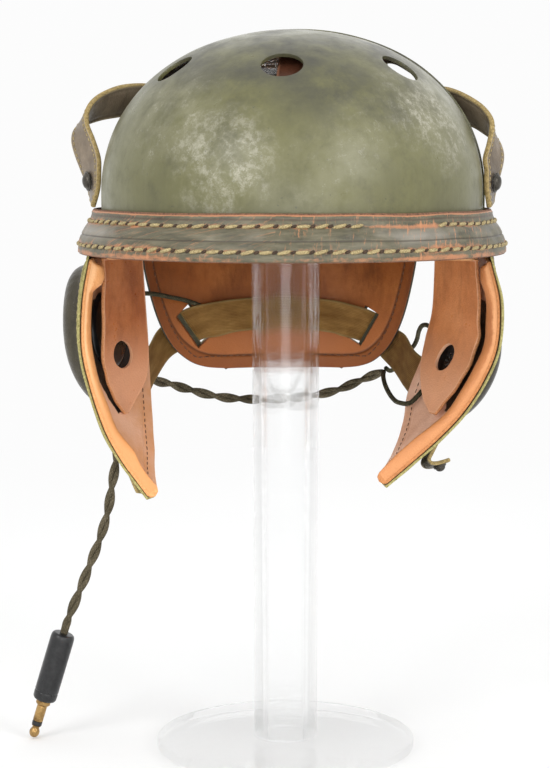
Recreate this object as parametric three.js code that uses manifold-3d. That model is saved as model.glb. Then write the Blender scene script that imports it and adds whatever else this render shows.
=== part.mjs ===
// A 1940s tank crew helmet with its headset, resting on a clear display stand.
// Millimetres, +Z up. The helmet faces -Y, and the wearer's right is at -X.
// The floor is at z = 0; the helmet's own group has its origin in the plane of the rim.
import * as THREE from 'three';
import { mergeVertices } from 'three/addons/utils/BufferGeometryUtils.js';
import Module from 'manifold-3d';

const wasm = await Module();
wasm.setup();

// Clearances
const pieceGap = 0.3;
const tipClearance = 0.8;

// Shell
const rimHeight = 308;
const shellHalfWidth = 115;
const shellHalfLength = 132;
const shellCrest = 132.5;
const shellUpright = 35;
const shellUprightShare = 0.12;
const shellRoundness = 2.1;
const shellWall = 2.2;
const rearShellEdge = 16;
const shellOverlap = 14;
const rearGrowth = shellWall + pieceGap;
const roundSides = 32;
const shellRings = 7;

// Vent holes
const ventRadius = 12;
const ventHeight = 108;
const ventAngles = [0, 56, 124, 180, 236, 304];
const ventBoreLength = 30;

// Leather band round the rim
const bandHeight = 25;

// Sweatband inside the rim
const sweatbandHeight = 30;
const sweatbandWall = 2;
const sweatbandSideDrop = 4.1;
const sweatbandDropPower = 6;

// Crown straps under the shell
const crownStrapWidth = 22;
const longStrapShift = 8;
const crownStrapWall = 2;
const crownStrapInset = 8;
const crownStrapFoot = 0.9;
const crownStrapSeat = 3.4;
const crownStrapDraw = 3;
const crownStrapCurl = 0.5;

// Ear flaps
const earFlapDrop = 147;
const earFlapWall = 1.5;
const earLiningWall = 2;
const earRollThickness = 7;
const earRollShare = 0.13;
const earLiningMargin = 0.02;
const earLiningTop = 0.1;
const earLayerGap = 1.2;
const earColumnCrowding = 1.35;
const leafWall = 2;
const earHoleWidth = 19;
const earHoleHeight = 16.6;
const earHoleBore = 20;
const leftEarHole = { along: 0.46, down: 0.39 };
const rightEarHole = { along: 0.52, down: 0.5 };

// Receivers and their leather covers
const receiverRadius = 24;
const receiverThickness = 17;
const receiverOutside = 8.5;
const leftReceiverSeat = { along: 0.5, down: 0.345 };
const rightReceiverSeat = { along: 0.6, down: 0.47 };
const bossRadius = 2.6;
const bossBite = 0.5;
const bossSides = 12;
const bossReach = 27;
const bossRoot = 12;
const leftBosses = [{ rearward: 0.87, downward: -0.5 }];
const rightBosses = [{ rearward: 0.87, downward: -0.5 }, { rearward: 0.707, downward: 0.707 }];
const coverRadius = 38;
const coverRise = 13.5;
const coverFlange = 4;
const coverWall = 1.8;
const coverFullness = 4;

// Neck flap
const neckFlapDrop = 84;
const neckFlapHalfWidth = 88;
const neckFlapShift = -13.5;
const neckFlapLean = 10;
const neckFlapWall = 2.2;
const neckFlapSeat = 7.9;
const neckLiningWall = 2;
const slitWidth = 10.5;
const slitSpare = 1.5;
const slitCutDepth = 40;

// Elastic webbing
const webbingWall = 1.2;

// Sprung side straps and their metalwork
const sideStrapWall = 3;
const snapRadius = 6;
const snapRise = 2.6;
const snapShare = 0.105;
const rivetRadius = 4.5;
const rivetRise = 1.6;
const rivetShare = 0.94;
const studSeat = 1.3;
const capEdge = 0.6;

// Chin tabs
const chinTabWall = 2.4;
const chinSnapRadius = 4;
const chinSnapHeight = 3;
const rightTabShape = { width: 12, stand: 14 };
const rightTabFrom = { along: 0.46, down: 0.69 };
const rightTabTo = { along: 0.34, down: 0.83 };
const leftTabShape = { width: 12, stand: 1.5 };
const leftTabFrom = { along: 0.5, down: 0.78 };
const leftTabTo = { along: 0.4, down: 0.93 };
const chinSnapShare = 0.86;

// Headset leads, cord and plug
const leadDiameter = 3;
const cordDiameter = 6.4;
const cordStep = 15;
const leadStep = 8;
const cordSides = 8;
const leadSides = 8;
const plugSides = 14;
const plugTilt = 17;
const plugTipX = -164;
const plugBodyRadius = 7.5;
const plugBodyLength = 45;
const plugCollarRadius = 4.6;
const plugCollarLength = 3;
const plugSleeveRadius = 3.175;
const plugSleeveLength = 10.5;
const plugInsulatorLength = 2.5;
const plugTipLength = 8;
const plugStraight = 1.6;

// Display stand
const standX = -4;
const standBaseRadius = 80;
const standBaseThickness = 6;
const standBaseEdge = 1;
const standColumnRadius = 21.5;
const standColumnFootRadius = 19.5;
const standColumnWall = 4;
const standHeadRadius = 42;
const standHeadThickness = 8;

// The band's section: height is a share of the band's height, out and in are clear of the rear shell.
const bandSection = [
  { height: 1.0, out: 2.6, inside: 0.6 },
  { height: 0.76, out: 5.0, inside: 1.8 },
  { height: 0.58, out: 8.0, inside: 5.2 },
  { height: 0.38, out: 10.4, inside: 8.2 },
  { height: 0.2, out: 11.6, inside: 9.2 },
  { height: 0.04, out: 11.9, inside: 9.4 },
  { height: 0.0, out: 11.2, inside: 10.0 },
];

// The edges of each ear flap: out is a share of the shell's half width, back of its half length,
// down of the flap's drop. bow pushes the middle of a row outward, as a share of the half width.
const leftFlapEdges = [
  { down: -0.03, frontOut: 1.03, frontBack: -0.29, rearOut: 0.985, rearBack: 0.38, bow: 0.05 },
  { down: 0.05, frontOut: 1.052, frontBack: -0.3, rearOut: 0.983, rearBack: 0.38, bow: 0.06 },
  { down: 0.2, frontOut: 1.084, frontBack: -0.31, rearOut: 0.93, rearBack: 0.38, bow: 0.06 },
  { down: 0.39, frontOut: 1.09, frontBack: -0.31, rearOut: 0.865, rearBack: 0.365, bow: 0.06 },
  { down: 0.56, frontOut: 1.046, frontBack: -0.3, rearOut: 0.835, rearBack: 0.3, bow: 0.052 },
  { down: 0.73, frontOut: 0.972, frontBack: -0.3, rearOut: 0.798, rearBack: 0.15, bow: 0.035 },
  { down: 0.85, frontOut: 0.887, frontBack: -0.3, rearOut: 0.766, rearBack: 0.0, bow: 0.017 },
  { down: 0.93, frontOut: 0.809, frontBack: -0.31, rearOut: 0.744, rearBack: -0.137, bow: 0.009 },
  { down: 1.0, frontOut: 0.736, frontBack: -0.325, rearOut: 0.71, rearBack: -0.26, bow: 0.0 },
];
const rightFlapEdges = [
  { down: -0.03, frontOut: 1.03, frontBack: -0.29, rearOut: 0.99, rearBack: 0.38, bow: 0.045 },
  { down: 0.05, frontOut: 1.058, frontBack: -0.3, rearOut: 0.955, rearBack: 0.38, bow: 0.04 },
  { down: 0.19, frontOut: 1.1, frontBack: -0.31, rearOut: 0.87, rearBack: 0.38, bow: 0.035 },
  { down: 0.37, frontOut: 1.092, frontBack: -0.31, rearOut: 0.775, rearBack: 0.365, bow: 0.035 },
  { down: 0.51, frontOut: 1.025, frontBack: -0.3, rearOut: 0.696, rearBack: 0.37, bow: 0.05 },
  { down: 0.64, frontOut: 0.922, frontBack: -0.3, rearOut: 0.634, rearBack: 0.33, bow: 0.052 },
  { down: 0.75, frontOut: 0.794, frontBack: -0.3, rearOut: 0.614, rearBack: 0.2, bow: 0.03 },
  { down: 0.86, frontOut: 0.636, frontBack: -0.31, rearOut: 0.562, rearBack: 0.02, bow: 0.016 },
  { down: 0.94, frontOut: 0.515, frontBack: -0.325, rearOut: 0.486, rearBack: -0.2, bow: 0.0 },
];

// The edges of the inner leaf of each ear flap, in the same shares.
const leftLeafEdges = [
  { down: 0.03, frontOut: 0.985, frontBack: -0.167, rearOut: 0.823, rearBack: 0.1, bow: 0.01 },
  { down: 0.2, frontOut: 0.985, frontBack: -0.18, rearOut: 0.81, rearBack: 0.1, bow: 0.01 },
  { down: 0.44, frontOut: 0.985, frontBack: -0.18, rearOut: 0.793, rearBack: 0.1, bow: 0.01 },
  { down: 0.545, frontOut: 0.968, frontBack: -0.15, rearOut: 0.805, rearBack: 0.085, bow: 0.01 },
  { down: 0.625, frontOut: 0.928, frontBack: -0.11, rearOut: 0.85, rearBack: 0.025, bow: 0.005 },
  { down: 0.675, frontOut: 0.892, frontBack: -0.075, rearOut: 0.878, rearBack: -0.038, bow: 0.0 },
];
const rightLeafEdges = [
  { down: 0.03, frontOut: 0.978, frontBack: -0.167, rearOut: 0.761, rearBack: 0.212, bow: 0.0 },
  { down: 0.25, frontOut: 0.986, frontBack: -0.167, rearOut: 0.75, rearBack: 0.212, bow: 0.0 },
  { down: 0.38, frontOut: 0.98, frontBack: -0.167, rearOut: 0.713, rearBack: 0.212, bow: 0.0 },
  { down: 0.5, frontOut: 0.91, frontBack: -0.17, rearOut: 0.687, rearBack: 0.14, bow: 0.0 },
  { down: 0.605, frontOut: 0.82, frontBack: -0.14, rearOut: 0.7, rearBack: 0.03, bow: 0.0 },
  { down: 0.66, frontOut: 0.765, frontBack: -0.13, rearOut: 0.735, rearBack: -0.09, bow: 0.0 },
];

// The neck flap's outline: down is a share of its drop, half of its half width.
const neckFlapOutline = [
  { down: -0.07, half: 1.0 },
  { down: 0.16, half: 0.994 },
  { down: 0.54, half: 0.915 },
  { down: 0.78, half: 0.82 },
  { down: 0.92, half: 0.7 },
  { down: 0.98, half: 0.58 },
  { down: 1.0, half: 0.44 },
];

// The two edges of each side strap: out, back and up are shares of the shell's half width, half length
// and crest. The right strap is pressed closer to the shell.
const leftStrapEdges = [
  { frontOut: 1.045, frontBack: -0.09, frontUp: 0.205, rearOut: 1.075, rearBack: 0.068, rearUp: 0.22 },
  { frontOut: 1.018, frontBack: -0.09, frontUp: 0.286, rearOut: 1.104, rearBack: 0.068, rearUp: 0.312 },
  { frontOut: 1.012, frontBack: -0.083, frontUp: 0.372, rearOut: 1.135, rearBack: 0.068, rearUp: 0.38 },
  { frontOut: 1.018, frontBack: -0.068, frontUp: 0.431, rearOut: 1.165, rearBack: 0.076, rearUp: 0.446 },
  { frontOut: 1.052, frontBack: -0.038, frontUp: 0.51, rearOut: 1.183, rearBack: 0.09, rearUp: 0.506 },
  { frontOut: 1.091, frontBack: 0.0, frontUp: 0.584, rearOut: 1.177, rearBack: 0.12, rearUp: 0.55 },
  { frontOut: 1.091, frontBack: 0.038, frontUp: 0.65, rearOut: 1.143, rearBack: 0.152, rearUp: 0.58 },
  { frontOut: 1.049, frontBack: 0.114, frontUp: 0.709, rearOut: 1.07, rearBack: 0.22, rearUp: 0.606 },
  { frontOut: 0.957, frontBack: 0.22, frontUp: 0.755, rearOut: 1.004, rearBack: 0.295, rearUp: 0.62 },
  { frontOut: 0.843, frontBack: 0.333, frontUp: 0.771, rearOut: 0.94, rearBack: 0.38, rearUp: 0.628 },
  { frontOut: 0.757, frontBack: 0.44, frontUp: 0.755, rearOut: 0.861, rearBack: 0.47, rearUp: 0.602 },
  { frontOut: 0.69, frontBack: 0.5, frontUp: 0.725, rearOut: 0.796, rearBack: 0.545, rearUp: 0.58 },
  { frontOut: 0.674, frontBack: 0.576, frontUp: 0.684, rearOut: 0.76, rearBack: 0.621, rearUp: 0.543 },
];

const rightStrapEdges = [
  { frontOut: 1.03, frontBack: -0.09, frontUp: 0.205, rearOut: 1.05, rearBack: 0.068, rearUp: 0.22 },
  { frontOut: 1.016, frontBack: -0.09, frontUp: 0.29, rearOut: 1.066, rearBack: 0.068, rearUp: 0.3 },
  { frontOut: 1.014, frontBack: -0.083, frontUp: 0.365, rearOut: 1.09, rearBack: 0.068, rearUp: 0.37 },
  { frontOut: 1.006, frontBack: -0.068, frontUp: 0.42, rearOut: 1.102, rearBack: 0.076, rearUp: 0.425 },
  { frontOut: 1.026, frontBack: -0.038, frontUp: 0.485, rearOut: 1.094, rearBack: 0.09, rearUp: 0.468 },
  { frontOut: 1.042, frontBack: 0.0, frontUp: 0.548, rearOut: 1.07, rearBack: 0.121, rearUp: 0.508 },
  { frontOut: 1.04, frontBack: 0.045, frontUp: 0.6, rearOut: 1.03, rearBack: 0.175, rearUp: 0.532 },
  { frontOut: 1.0, frontBack: 0.12, frontUp: 0.655, rearOut: 0.972, rearBack: 0.25, rearUp: 0.566 },
  { frontOut: 0.928, frontBack: 0.2, frontUp: 0.702, rearOut: 0.92, rearBack: 0.34, rearUp: 0.586 },
  { frontOut: 0.85, frontBack: 0.3, frontUp: 0.738, rearOut: 0.87, rearBack: 0.42, rearUp: 0.604 },
  { frontOut: 0.762, frontBack: 0.42, frontUp: 0.755, rearOut: 0.848, rearBack: 0.485, rearUp: 0.606 },
  { frontOut: 0.69, frontBack: 0.5, frontUp: 0.725, rearOut: 0.796, rearBack: 0.545, rearUp: 0.58 },
  { frontOut: 0.674, frontBack: 0.576, frontUp: 0.684, rearOut: 0.76, rearBack: 0.621, rearUp: 0.543 },
];

// The webbing's two edges from the left ear flap to the right one, in and out through the neck flap's
// slits. x and y are shares of the shell's half width and half length, down of the neck flap's drop.
const webbingEdges = [
  { topX: -0.935, topY: 0.288, topDown: 0.857, lowX: -0.88, lowY: 0.258, lowDown: 1.095 },
  { topX: -0.878, topY: 0.44, topDown: 0.857, lowX: -0.85, lowY: 0.44, lowDown: 1.13 },
  { topX: -0.861, topY: 0.606, topDown: 0.786, lowX: -0.826, lowY: 0.606, lowDown: 1.036 },
  { topX: -0.826, topY: 0.705, topDown: 0.679, lowX: -0.765, lowY: 0.75, lowDown: 0.893 },
  { topX: -0.748, topY: 0.784, topDown: 0.583, lowX: -0.661, lowY: 0.835, lowDown: 0.815 },
  { topX: -0.684, topY: 0.77, topDown: 0.524, lowX: -0.579, lowY: 0.836, lowDown: 0.754 },
  { topX: -0.591, topY: 0.757, topDown: 0.482, lowX: -0.487, lowY: 0.811, lowDown: 0.732 },
  { topX: -0.391, topY: 0.864, topDown: 0.446, lowX: -0.365, lowY: 0.857, lowDown: 0.696 },
  { topX: -0.104, topY: 0.94, topDown: 0.429, lowX: -0.104, lowY: 0.925, lowDown: 0.679 },
  { topX: 0.157, topY: 0.935, topDown: 0.458, lowX: 0.139, lowY: 0.922, lowDown: 0.708 },
  { topX: 0.304, topY: 0.905, topDown: 0.5, lowX: 0.226, lowY: 0.912, lowDown: 0.738 },
  { topX: 0.393, topY: 0.945, topDown: 0.545, lowX: 0.301, lowY: 0.961, lowDown: 0.77 },
  { topX: 0.47, topY: 0.965, topDown: 0.607, lowX: 0.396, lowY: 0.978, lowDown: 0.827 },
  { topX: 0.532, topY: 0.93, topDown: 0.679, lowX: 0.461, lowY: 0.935, lowDown: 0.917 },
  { topX: 0.592, topY: 0.77, topDown: 0.714, lowX: 0.53, lowY: 0.773, lowDown: 0.988 },
  { topX: 0.643, topY: 0.545, topDown: 0.798, lowX: 0.591, lowY: 0.545, lowDown: 1.071 },
  { topX: 0.705, topY: 0.405, topDown: 0.845, lowX: 0.637, lowY: 0.365, lowDown: 1.119 },
];
const leftSlitRow = 5;
const rightSlitRow = 11;

// A chin tab's path: run is a share of its length, stand of how far its end stands off the flap.
const foldedTabPath = [
  { run: 0, stand: 0 }, { run: 0.3, stand: 0.05 }, { run: 0.6, stand: 0.16 }, { run: 0.85, stand: 0.26 },
  { run: 0.98, stand: 0.34 }, { run: 1.0, stand: 0.52 }, { run: 0.92, stand: 0.72 },
  { run: 0.8, stand: 0.9 }, { run: 0.68, stand: 1.06 },
];
const flatTabPath = [
  { run: 0, stand: 0 }, { run: 0.5, stand: 0.3 }, { run: 1, stand: 1 },
];

// The plug's pieces, from the tip up: out is a share of the piece's radius, along of its length.
const plainProfile = [
  { out: 0, along: 0 }, { out: 1, along: 0 }, { out: 1, along: 1 }, { out: 0, along: 1 },
];
const plugTipProfile = [
  { out: 0, along: 0 }, { out: 0.5, along: 0.06 }, { out: 0.95, along: 0.33 }, { out: 1, along: 0.53 },
  { out: 0.72, along: 0.8 }, { out: 0.72, along: 1 }, { out: 0, along: 1 },
];
const plugCollarProfile = [
  { out: 0, along: 0 }, { out: 0.85, along: 0 }, { out: 1, along: 0.27 }, { out: 1, along: 1 },
  { out: 0, along: 1 },
];
const plugBodyProfile = [
  { out: 0, along: 0 }, { out: 0.8, along: 0 }, { out: 0.97, along: 0.04 }, { out: 1, along: 0.11 },
  { out: 1, along: 0.91 }, { out: 0.93, along: 0.97 }, { out: 0.7, along: 1 }, { out: 0, along: 1 },
];

// The routes of the leads and the cord, chosen by hand, from the plane of the rim.
const leftLeadRoute = [
  [-105.4, 25.5, -35.2], [-103.9, 33, -31.4], [-101.5, 42, -29.5], [-98, 53, -29.8], [-93, 67, -31.2],
  [-85.3, 81, -34], [-76.5, 93.5, -37], [-68.5, 104.1, -41], [-60.5, 110.5, -45], [-50, 117.1, -48],
  [-38, 122.1, -49],
];
const rightUpperLeadRoute = [
  [55.3, 108.9, -82.4], [58.6, 112.4, -84.6], [63, 114.6, -81.6], [67, 112, -75.6], [70.6, 106.5, -70.6],
  [73.8, 100, -66.8], [76, 92, -61.6], [77.2, 83, -55.6], [79, 73, -51.4], [82, 60, -49.6],
  [85, 46, -50.6], [86.3, 33, -53.9],
];
const rightLowerLeadRoute = [
  [54.2, 108.3, -85], [54.2, 97, -84.5], [54.2, 85, -84.6], [54.7, 72, -85.8], [56, 59, -88.3],
  [58.3, 47, -91.4], [61.3, 36, -94.2], [64.9, 27, -95.6], [71.5, 22.5, -95.6], [75.8, 22, -92],
  [79.4, 24.1, -88],
];
const headsetCordRoute = [
  [53.5, 112, -85], [40, 117, -91], [24.5, 120, -98], [8, 121.5, -102.5], [-9.4, 122, -104.7],
  [-36.5, 121, -105.6], [-57, 115.5, -103.5], [-73, 109, -99], [-89, 97.5, -93], [-102.5, 82, -88.5],
  [-109.5, 63, -88.5], [-112, 46, -94], [-112, 34, -106], [-112, 26, -120], [-112.6, 21, -133],
  [-115, 18, -149], [-117.5, 16, -165], [-122.5, 13, -183], [-127.5, 9.5, -196.5], [-132, 5, -209],
  [-136, 1, -219.5],
];

const materials = {
  shellPaint: { color: 0x5f6150, roughness: 0.55, metalness: 0 },
  bandLeather: { color: 0x4a4632, roughness: 0.6, metalness: 0 },
  greenLeather: { color: 0x3f4433, roughness: 0.6, metalness: 0 },
  tanLeather: { color: 0xb06a3c, roughness: 0.55, metalness: 0 },
  paleLeather: { color: 0xd98f55, roughness: 0.6, metalness: 0 },
  strapLeather: { color: 0x5a4a35, roughness: 0.55, metalness: 0 },
  crownLeather: { color: 0x6b2f1e, roughness: 0.6, metalness: 0 },
  coverLeather: { color: 0x1f1d18, roughness: 0.5, metalness: 0 },
  blackPlastic: { color: 0x101010, roughness: 0.35, metalness: 0 },
  webbing: { color: 0x6a5a38, roughness: 0.9, metalness: 0 },
  braid: { color: 0x5c503a, roughness: 0.9, metalness: 0 },
  darkMetal: { color: 0x2a2822, roughness: 0.45, metalness: 0.9 },
  brass: { color: 0xb08a4a, roughness: 0.35, metalness: 1 },
  acrylic: { color: 0xf2f6f7, roughness: 0.05, metalness: 0, transparent: true, opacity: 0.3 },
};

function cleanGeometry(geometry) {
  const bare = geometry.clone();
  bare.deleteAttribute('normal');
  bare.deleteAttribute('uv');
  const merged = mergeVertices(bare, 1e-3);
  const index = merged.index.array;
  const kept = [];
  for (let i = 0; i < index.length; i += 3) {
    const [a, b, c] = [index[i], index[i + 1], index[i + 2]];
    if (a !== b && b !== c && c !== a) kept.push(a, b, c);
  }
  merged.setIndex(kept);
  return merged;
}

function signedVolume(geometry) {
  const at = geometry.attributes.position;
  const index = geometry.index.array;
  const [a, b, c] = [new THREE.Vector3(), new THREE.Vector3(), new THREE.Vector3()];
  let sum = 0;
  for (let i = 0; i < index.length; i += 3) {
    a.fromBufferAttribute(at, index[i]);
    b.fromBufferAttribute(at, index[i + 1]);
    c.fromBufferAttribute(at, index[i + 2]);
    sum += a.dot(b.cross(c));
  }
  return sum / 6;
}

function facingOut(geometry) {
  if (signedVolume(geometry) > 0) return geometry;
  const index = Array.from(geometry.index.array);
  for (let i = 0; i < index.length; i += 3) {
    [index[i], index[i + 1]] = [index[i + 1], index[i]];
  }
  geometry.setIndex(index);
  return geometry;
}

function toSolid(geometry) {
  const clean = facingOut(cleanGeometry(geometry));
  return new wasm.Manifold(new wasm.Mesh({
    numProp: 3,
    vertProperties: new Float32Array(clean.attributes.position.array),
    triVerts: new Uint32Array(clean.index.array),
  }));
}

function toGeometry(solid) {
  const mesh = solid.getMesh();
  const geometry = new THREE.BufferGeometry();
  geometry.setAttribute('position', new THREE.BufferAttribute(new Float32Array(mesh.vertProperties), 3));
  geometry.setIndex(Array.from(mesh.triVerts));
  return geometry;
}

// A value read smoothly between the rows of a table, at a share from its first row to its last.
function rowAt(table, share) {
  const last = table.length - 1;
  const place = Math.min(Math.max(share, 0), 1) * last;
  const i = Math.min(Math.floor(place), last - 1);
  const t = place - i;
  const rows = [table[Math.max(i - 1, 0)], table[i], table[i + 1], table[Math.min(i + 2, last)]];
  const row = {};
  for (const key of Object.keys(table[0])) {
    const [p, q, r, s] = rows.map((each) => each[key]);
    const linear = r - p;
    const square = 2 * p - 5 * q + 4 * r - s;
    const cube = 3 * q - 3 * r + s - p;
    row[key] = 0.5 * (2 * q + linear * t + square * t * t + cube * t * t * t);
  }
  return row;
}

// The unit normal of a surface given by a function of two shares.
function normalAt(surface, u, v) {
  const step = 1e-3;
  const [u0, u1] = [Math.max(u - step, 0), Math.min(u + step, 1)];
  const [v0, v1] = [Math.max(v - step, 0), Math.min(v + step, 1)];
  const along = surface(u1, v).sub(surface(u0, v));
  const down = surface(u, v1).sub(surface(u, v0));
  return along.cross(down).normalize();
}

function offsetSurface(surface, distance) {
  return (u, v) => surface(u, v).addScaledVector(normalAt(surface, u, v), distance);
}

// A closed solid between two surfaces; in a ring the first and last columns are the same.
function solidBetween(front, back, columns, rows, ring = false) {
  const positions = [];
  const index = [];
  const across = ring ? columns : columns + 1;
  for (const surface of [front, back]) {
    for (let j = 0; j <= rows; j += 1) {
      for (let i = 0; i < across; i += 1) {
        positions.push(...surface(i / columns, j / rows).toArray());
      }
    }
  }
  const layer = across * (rows + 1);
  const at = (side, i, j) => side * layer + j * across + (i % across);
  const quad = (a, b, c, d) => index.push(a, b, c, a, c, d);
  for (let j = 0; j < rows; j += 1) {
    for (let i = 0; i < columns; i += 1) {
      quad(at(0, i, j), at(0, i + 1, j), at(0, i + 1, j + 1), at(0, i, j + 1));
      quad(at(1, i, j), at(1, i, j + 1), at(1, i + 1, j + 1), at(1, i + 1, j));
    }
  }
  for (let i = 0; i < columns; i += 1) {
    quad(at(0, i + 1, 0), at(0, i, 0), at(1, i, 0), at(1, i + 1, 0));
    quad(at(0, i, rows), at(0, i + 1, rows), at(1, i + 1, rows), at(1, i, rows));
  }
  if (!ring) {
    for (let j = 0; j < rows; j += 1) {
      quad(at(0, 0, j), at(0, 0, j + 1), at(1, 0, j + 1), at(1, 0, j));
      quad(at(0, columns, j + 1), at(0, columns, j), at(1, columns, j), at(1, columns, j + 1));
    }
  }
  const geometry = new THREE.BufferGeometry();
  geometry.setAttribute('position', new THREE.Float32BufferAttribute(positions, 3));
  geometry.setIndex(index);
  return facingOut(cleanGeometry(geometry));
}

function named(name, geometry, material) {
  const mesh = new THREE.Mesh(geometry, new THREE.MeshStandardMaterial(materials[material]));
  mesh.name = name;
  return mesh;
}

function lathe(points, sides) {
  const profile = points.map(([r, z]) => new THREE.Vector2(r, z));
  const geometry = new THREE.LatheGeometry(profile, sides).rotateX(Math.PI / 2);
  return facingOut(cleanGeometry(geometry));
}

// Turns a geometry whose axis is +Z so that the axis points along a direction, and moves it to a place.
function placed(geometry, position, direction) {
  const turn = new THREE.Quaternion().setFromUnitVectors(new THREE.Vector3(0, 0, 1), direction);
  const matrix = new THREE.Matrix4().compose(position, turn, new THREE.Vector3(1, 1, 1));
  return geometry.clone().applyMatrix4(matrix);
}

// The dome: a point at a turn round the crest and a share from the rim to the crest, grown by an offset.
function domePoint(turn, rise, grown) {
  const angle = turn * 2 * Math.PI;
  const sweep = Math.max(rise - shellUprightShare, 0) / (1 - shellUprightShare) * Math.PI / 2;
  const reach = Math.pow(Math.cos(sweep), 2 / shellRoundness);
  const lift = Math.pow(Math.sin(sweep), 2 / shellRoundness);
  const wall = Math.min(rise / shellUprightShare, 1) * shellUpright;
  return new THREE.Vector3(
    (shellHalfWidth + grown) * reach * Math.sin(angle),
    -(shellHalfLength + grown) * reach * Math.cos(angle),
    wall + (shellCrest - shellUpright + grown) * lift,
  );
}

function domeSolid(grown, below) {
  const top = (u, v) => domePoint(u, v, grown);
  const foot = (u) => domePoint(u, 0, grown).setZ(-below);
  return toSolid(solidBetween(top, foot, roundSides, shellRings, true));
}

function halfSpaceBox(yLow, yHigh) {
  const tall = 4 * shellCrest;
  const wide = 4 * shellHalfWidth;
  return toSolid(new THREE.BoxGeometry(wide, yHigh - yLow, tall).translate(0, (yLow + yHigh) / 2, 0));
}

// The share of the dome's horizontal reach at a height over the rim.
function reachAt(height) {
  const lift = (height - shellUpright) / (shellCrest - shellUpright);
  return Math.pow(1 - Math.pow(lift, shellRoundness), 1 / shellRoundness);
}

function ventCutter(degrees) {
  const angle = THREE.MathUtils.degToRad(degrees);
  const reach = reachAt(ventHeight);
  const place = new THREE.Vector3(
    shellHalfWidth * reach * Math.sin(angle),
    -shellHalfLength * reach * Math.cos(angle),
    ventHeight,
  );
  const lift = (ventHeight - shellUpright) / (shellCrest - shellUpright);
  const slope = Math.pow(reach, shellRoundness - 1);
  const outward = new THREE.Vector3(
    slope * Math.sin(angle) / shellHalfWidth,
    -slope * Math.cos(angle) / shellHalfLength,
    Math.pow(lift, shellRoundness - 1) / (shellCrest - shellUpright),
  ).normalize();
  const bore = new THREE.CylinderGeometry(ventRadius, ventRadius, ventBoreLength, 14).rotateX(Math.PI / 2);
  return toSolid(placed(bore, place, outward));
}

function shellSolid(grown, yLow, yHigh) {
  const inner = domeSolid(grown - shellWall, 10);
  let shell = domeSolid(grown, 0).subtract(inner).intersect(halfSpaceBox(yLow, yHigh));
  for (const degrees of ventAngles) shell = shell.subtract(ventCutter(degrees));
  return toGeometry(shell);
}

function addShell(group) {
  const far = 2 * shellHalfLength;
  const front = shellSolid(0, -far, rearShellEdge + shellOverlap);
  const rear = shellSolid(rearGrowth, rearShellEdge, far);
  group.add(named('shell_front', front, 'shellPaint'));
  group.add(named('shell_rear', rear, 'shellPaint'));
}

function ellipsePoint(turn, offset, z) {
  const angle = turn * 2 * Math.PI;
  const x = (shellHalfWidth + offset) * Math.sin(angle);
  const y = -(shellHalfLength + offset) * Math.cos(angle);
  return new THREE.Vector3(x, y, z);
}

function addRimBand(group) {
  const outer = (u, v) => {
    const row = rowAt(bandSection, v);
    return ellipsePoint(u, rearGrowth + row.out, row.height * bandHeight);
  };
  const inner = (u, v) => {
    const row = rowAt(bandSection, v);
    return ellipsePoint(u, rearGrowth + row.inside, row.height * bandHeight);
  };
  group.add(named('rim_band', solidBetween(outer, inner, roundSides, 6, true), 'bandLeather'));
}

// The sweatband reaches below the rim only at the sides, where the ear leaves hang from it.
function addSweatband(group) {
  const wall = (offset) => (u, v) => {
    const bottom = -sweatbandSideDrop * Math.pow(Math.sin(u * 2 * Math.PI), sweatbandDropPower);
    return ellipsePoint(u, -offset, bottom + v * (sweatbandHeight - bottom));
  };
  const outside = wall(shellWall + pieceGap);
  const inside = wall(shellWall + pieceGap + sweatbandWall);
  group.add(named('sweatband', solidBetween(outside, inside, roundSides, 1, true), 'paleLeather'));
}

// A strap under the crown, along the length or across the width of the shell, moved sideways by a shift.
function crownStrap(across, inset, shift) {
  const half = crownStrapWidth / 2;
  const outer = (u, v) => {
    const sweep = (v - 0.5) * Math.PI * crownStrapFoot;
    const reach = Math.sign(Math.sin(sweep)) * Math.pow(Math.abs(Math.sin(sweep)), 2 / shellRoundness);
    const lift = Math.pow(Math.cos(sweep), 2 / shellRoundness);
    const seat = shellWall + pieceGap + crownStrapSeat;
    const clear = seat + (inset - seat) * Math.min(crownStrapDraw * (1 - Math.abs(2 * v - 1)), 1);
    const span = (across ? shellHalfWidth : shellHalfLength) - clear;
    const side = shift + (u - 0.5) * 2 * half;
    const other = across ? shellHalfLength : shellHalfWidth;
    const sink = (shellCrest - shellUpright) * crownStrapCurl * Math.pow(side / other, 2);
    const z = shellUpright + (shellCrest - shellUpright - clear) * lift - sink;
    return across ? new THREE.Vector3(reach * span, side, z) : new THREE.Vector3(side, reach * span, z);
  };
  const sign = normalAt(outer, 0.5, 0.5).z > 0 ? -1 : 1;
  return solidBetween(outer, offsetSurface(outer, sign * crownStrapWall), 2, 16);
}

function addCrownStraps(group) {
  const crossInset = crownStrapInset + crownStrapWall + 2 * pieceGap;
  group.add(named('crown_strap_long', crownStrap(false, crownStrapInset, longStrapShift), 'crownLeather'));
  group.add(named('crown_strap_cross', crownStrap(true, crossInset, 0), 'crownLeather'));
}

// A soft panel's middle surface, between a front and a rear edge; side is -1 for the left of the view.
function flapSurface(edges, side) {
  return (u, v) => {
    const row = rowAt(edges, v);
    const bow = row.bow * shellHalfWidth * Math.sin(Math.PI * u);
    const out = THREE.MathUtils.lerp(row.frontOut, row.rearOut, u) * shellHalfWidth + bow;
    const back = THREE.MathUtils.lerp(row.frontBack, row.rearBack, u) * shellHalfLength;
    return new THREE.Vector3(side * out, back, -row.down * earFlapDrop);
  };
}

// The outward direction of a flap's surface: away from the wearer's head.
function outwardNormal(surface, side, u, v) {
  const normal = normalAt(surface, u, v);
  return normal.x * side < 0 ? normal.negate() : normal;
}

function grownSurface(surface, side, distance) {
  return (u, v) => {
    const reach = typeof distance === 'function' ? distance(u, v) : distance;
    return surface(u, v).addScaledVector(outwardNormal(surface, side, u, v), reach);
  };
}

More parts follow.
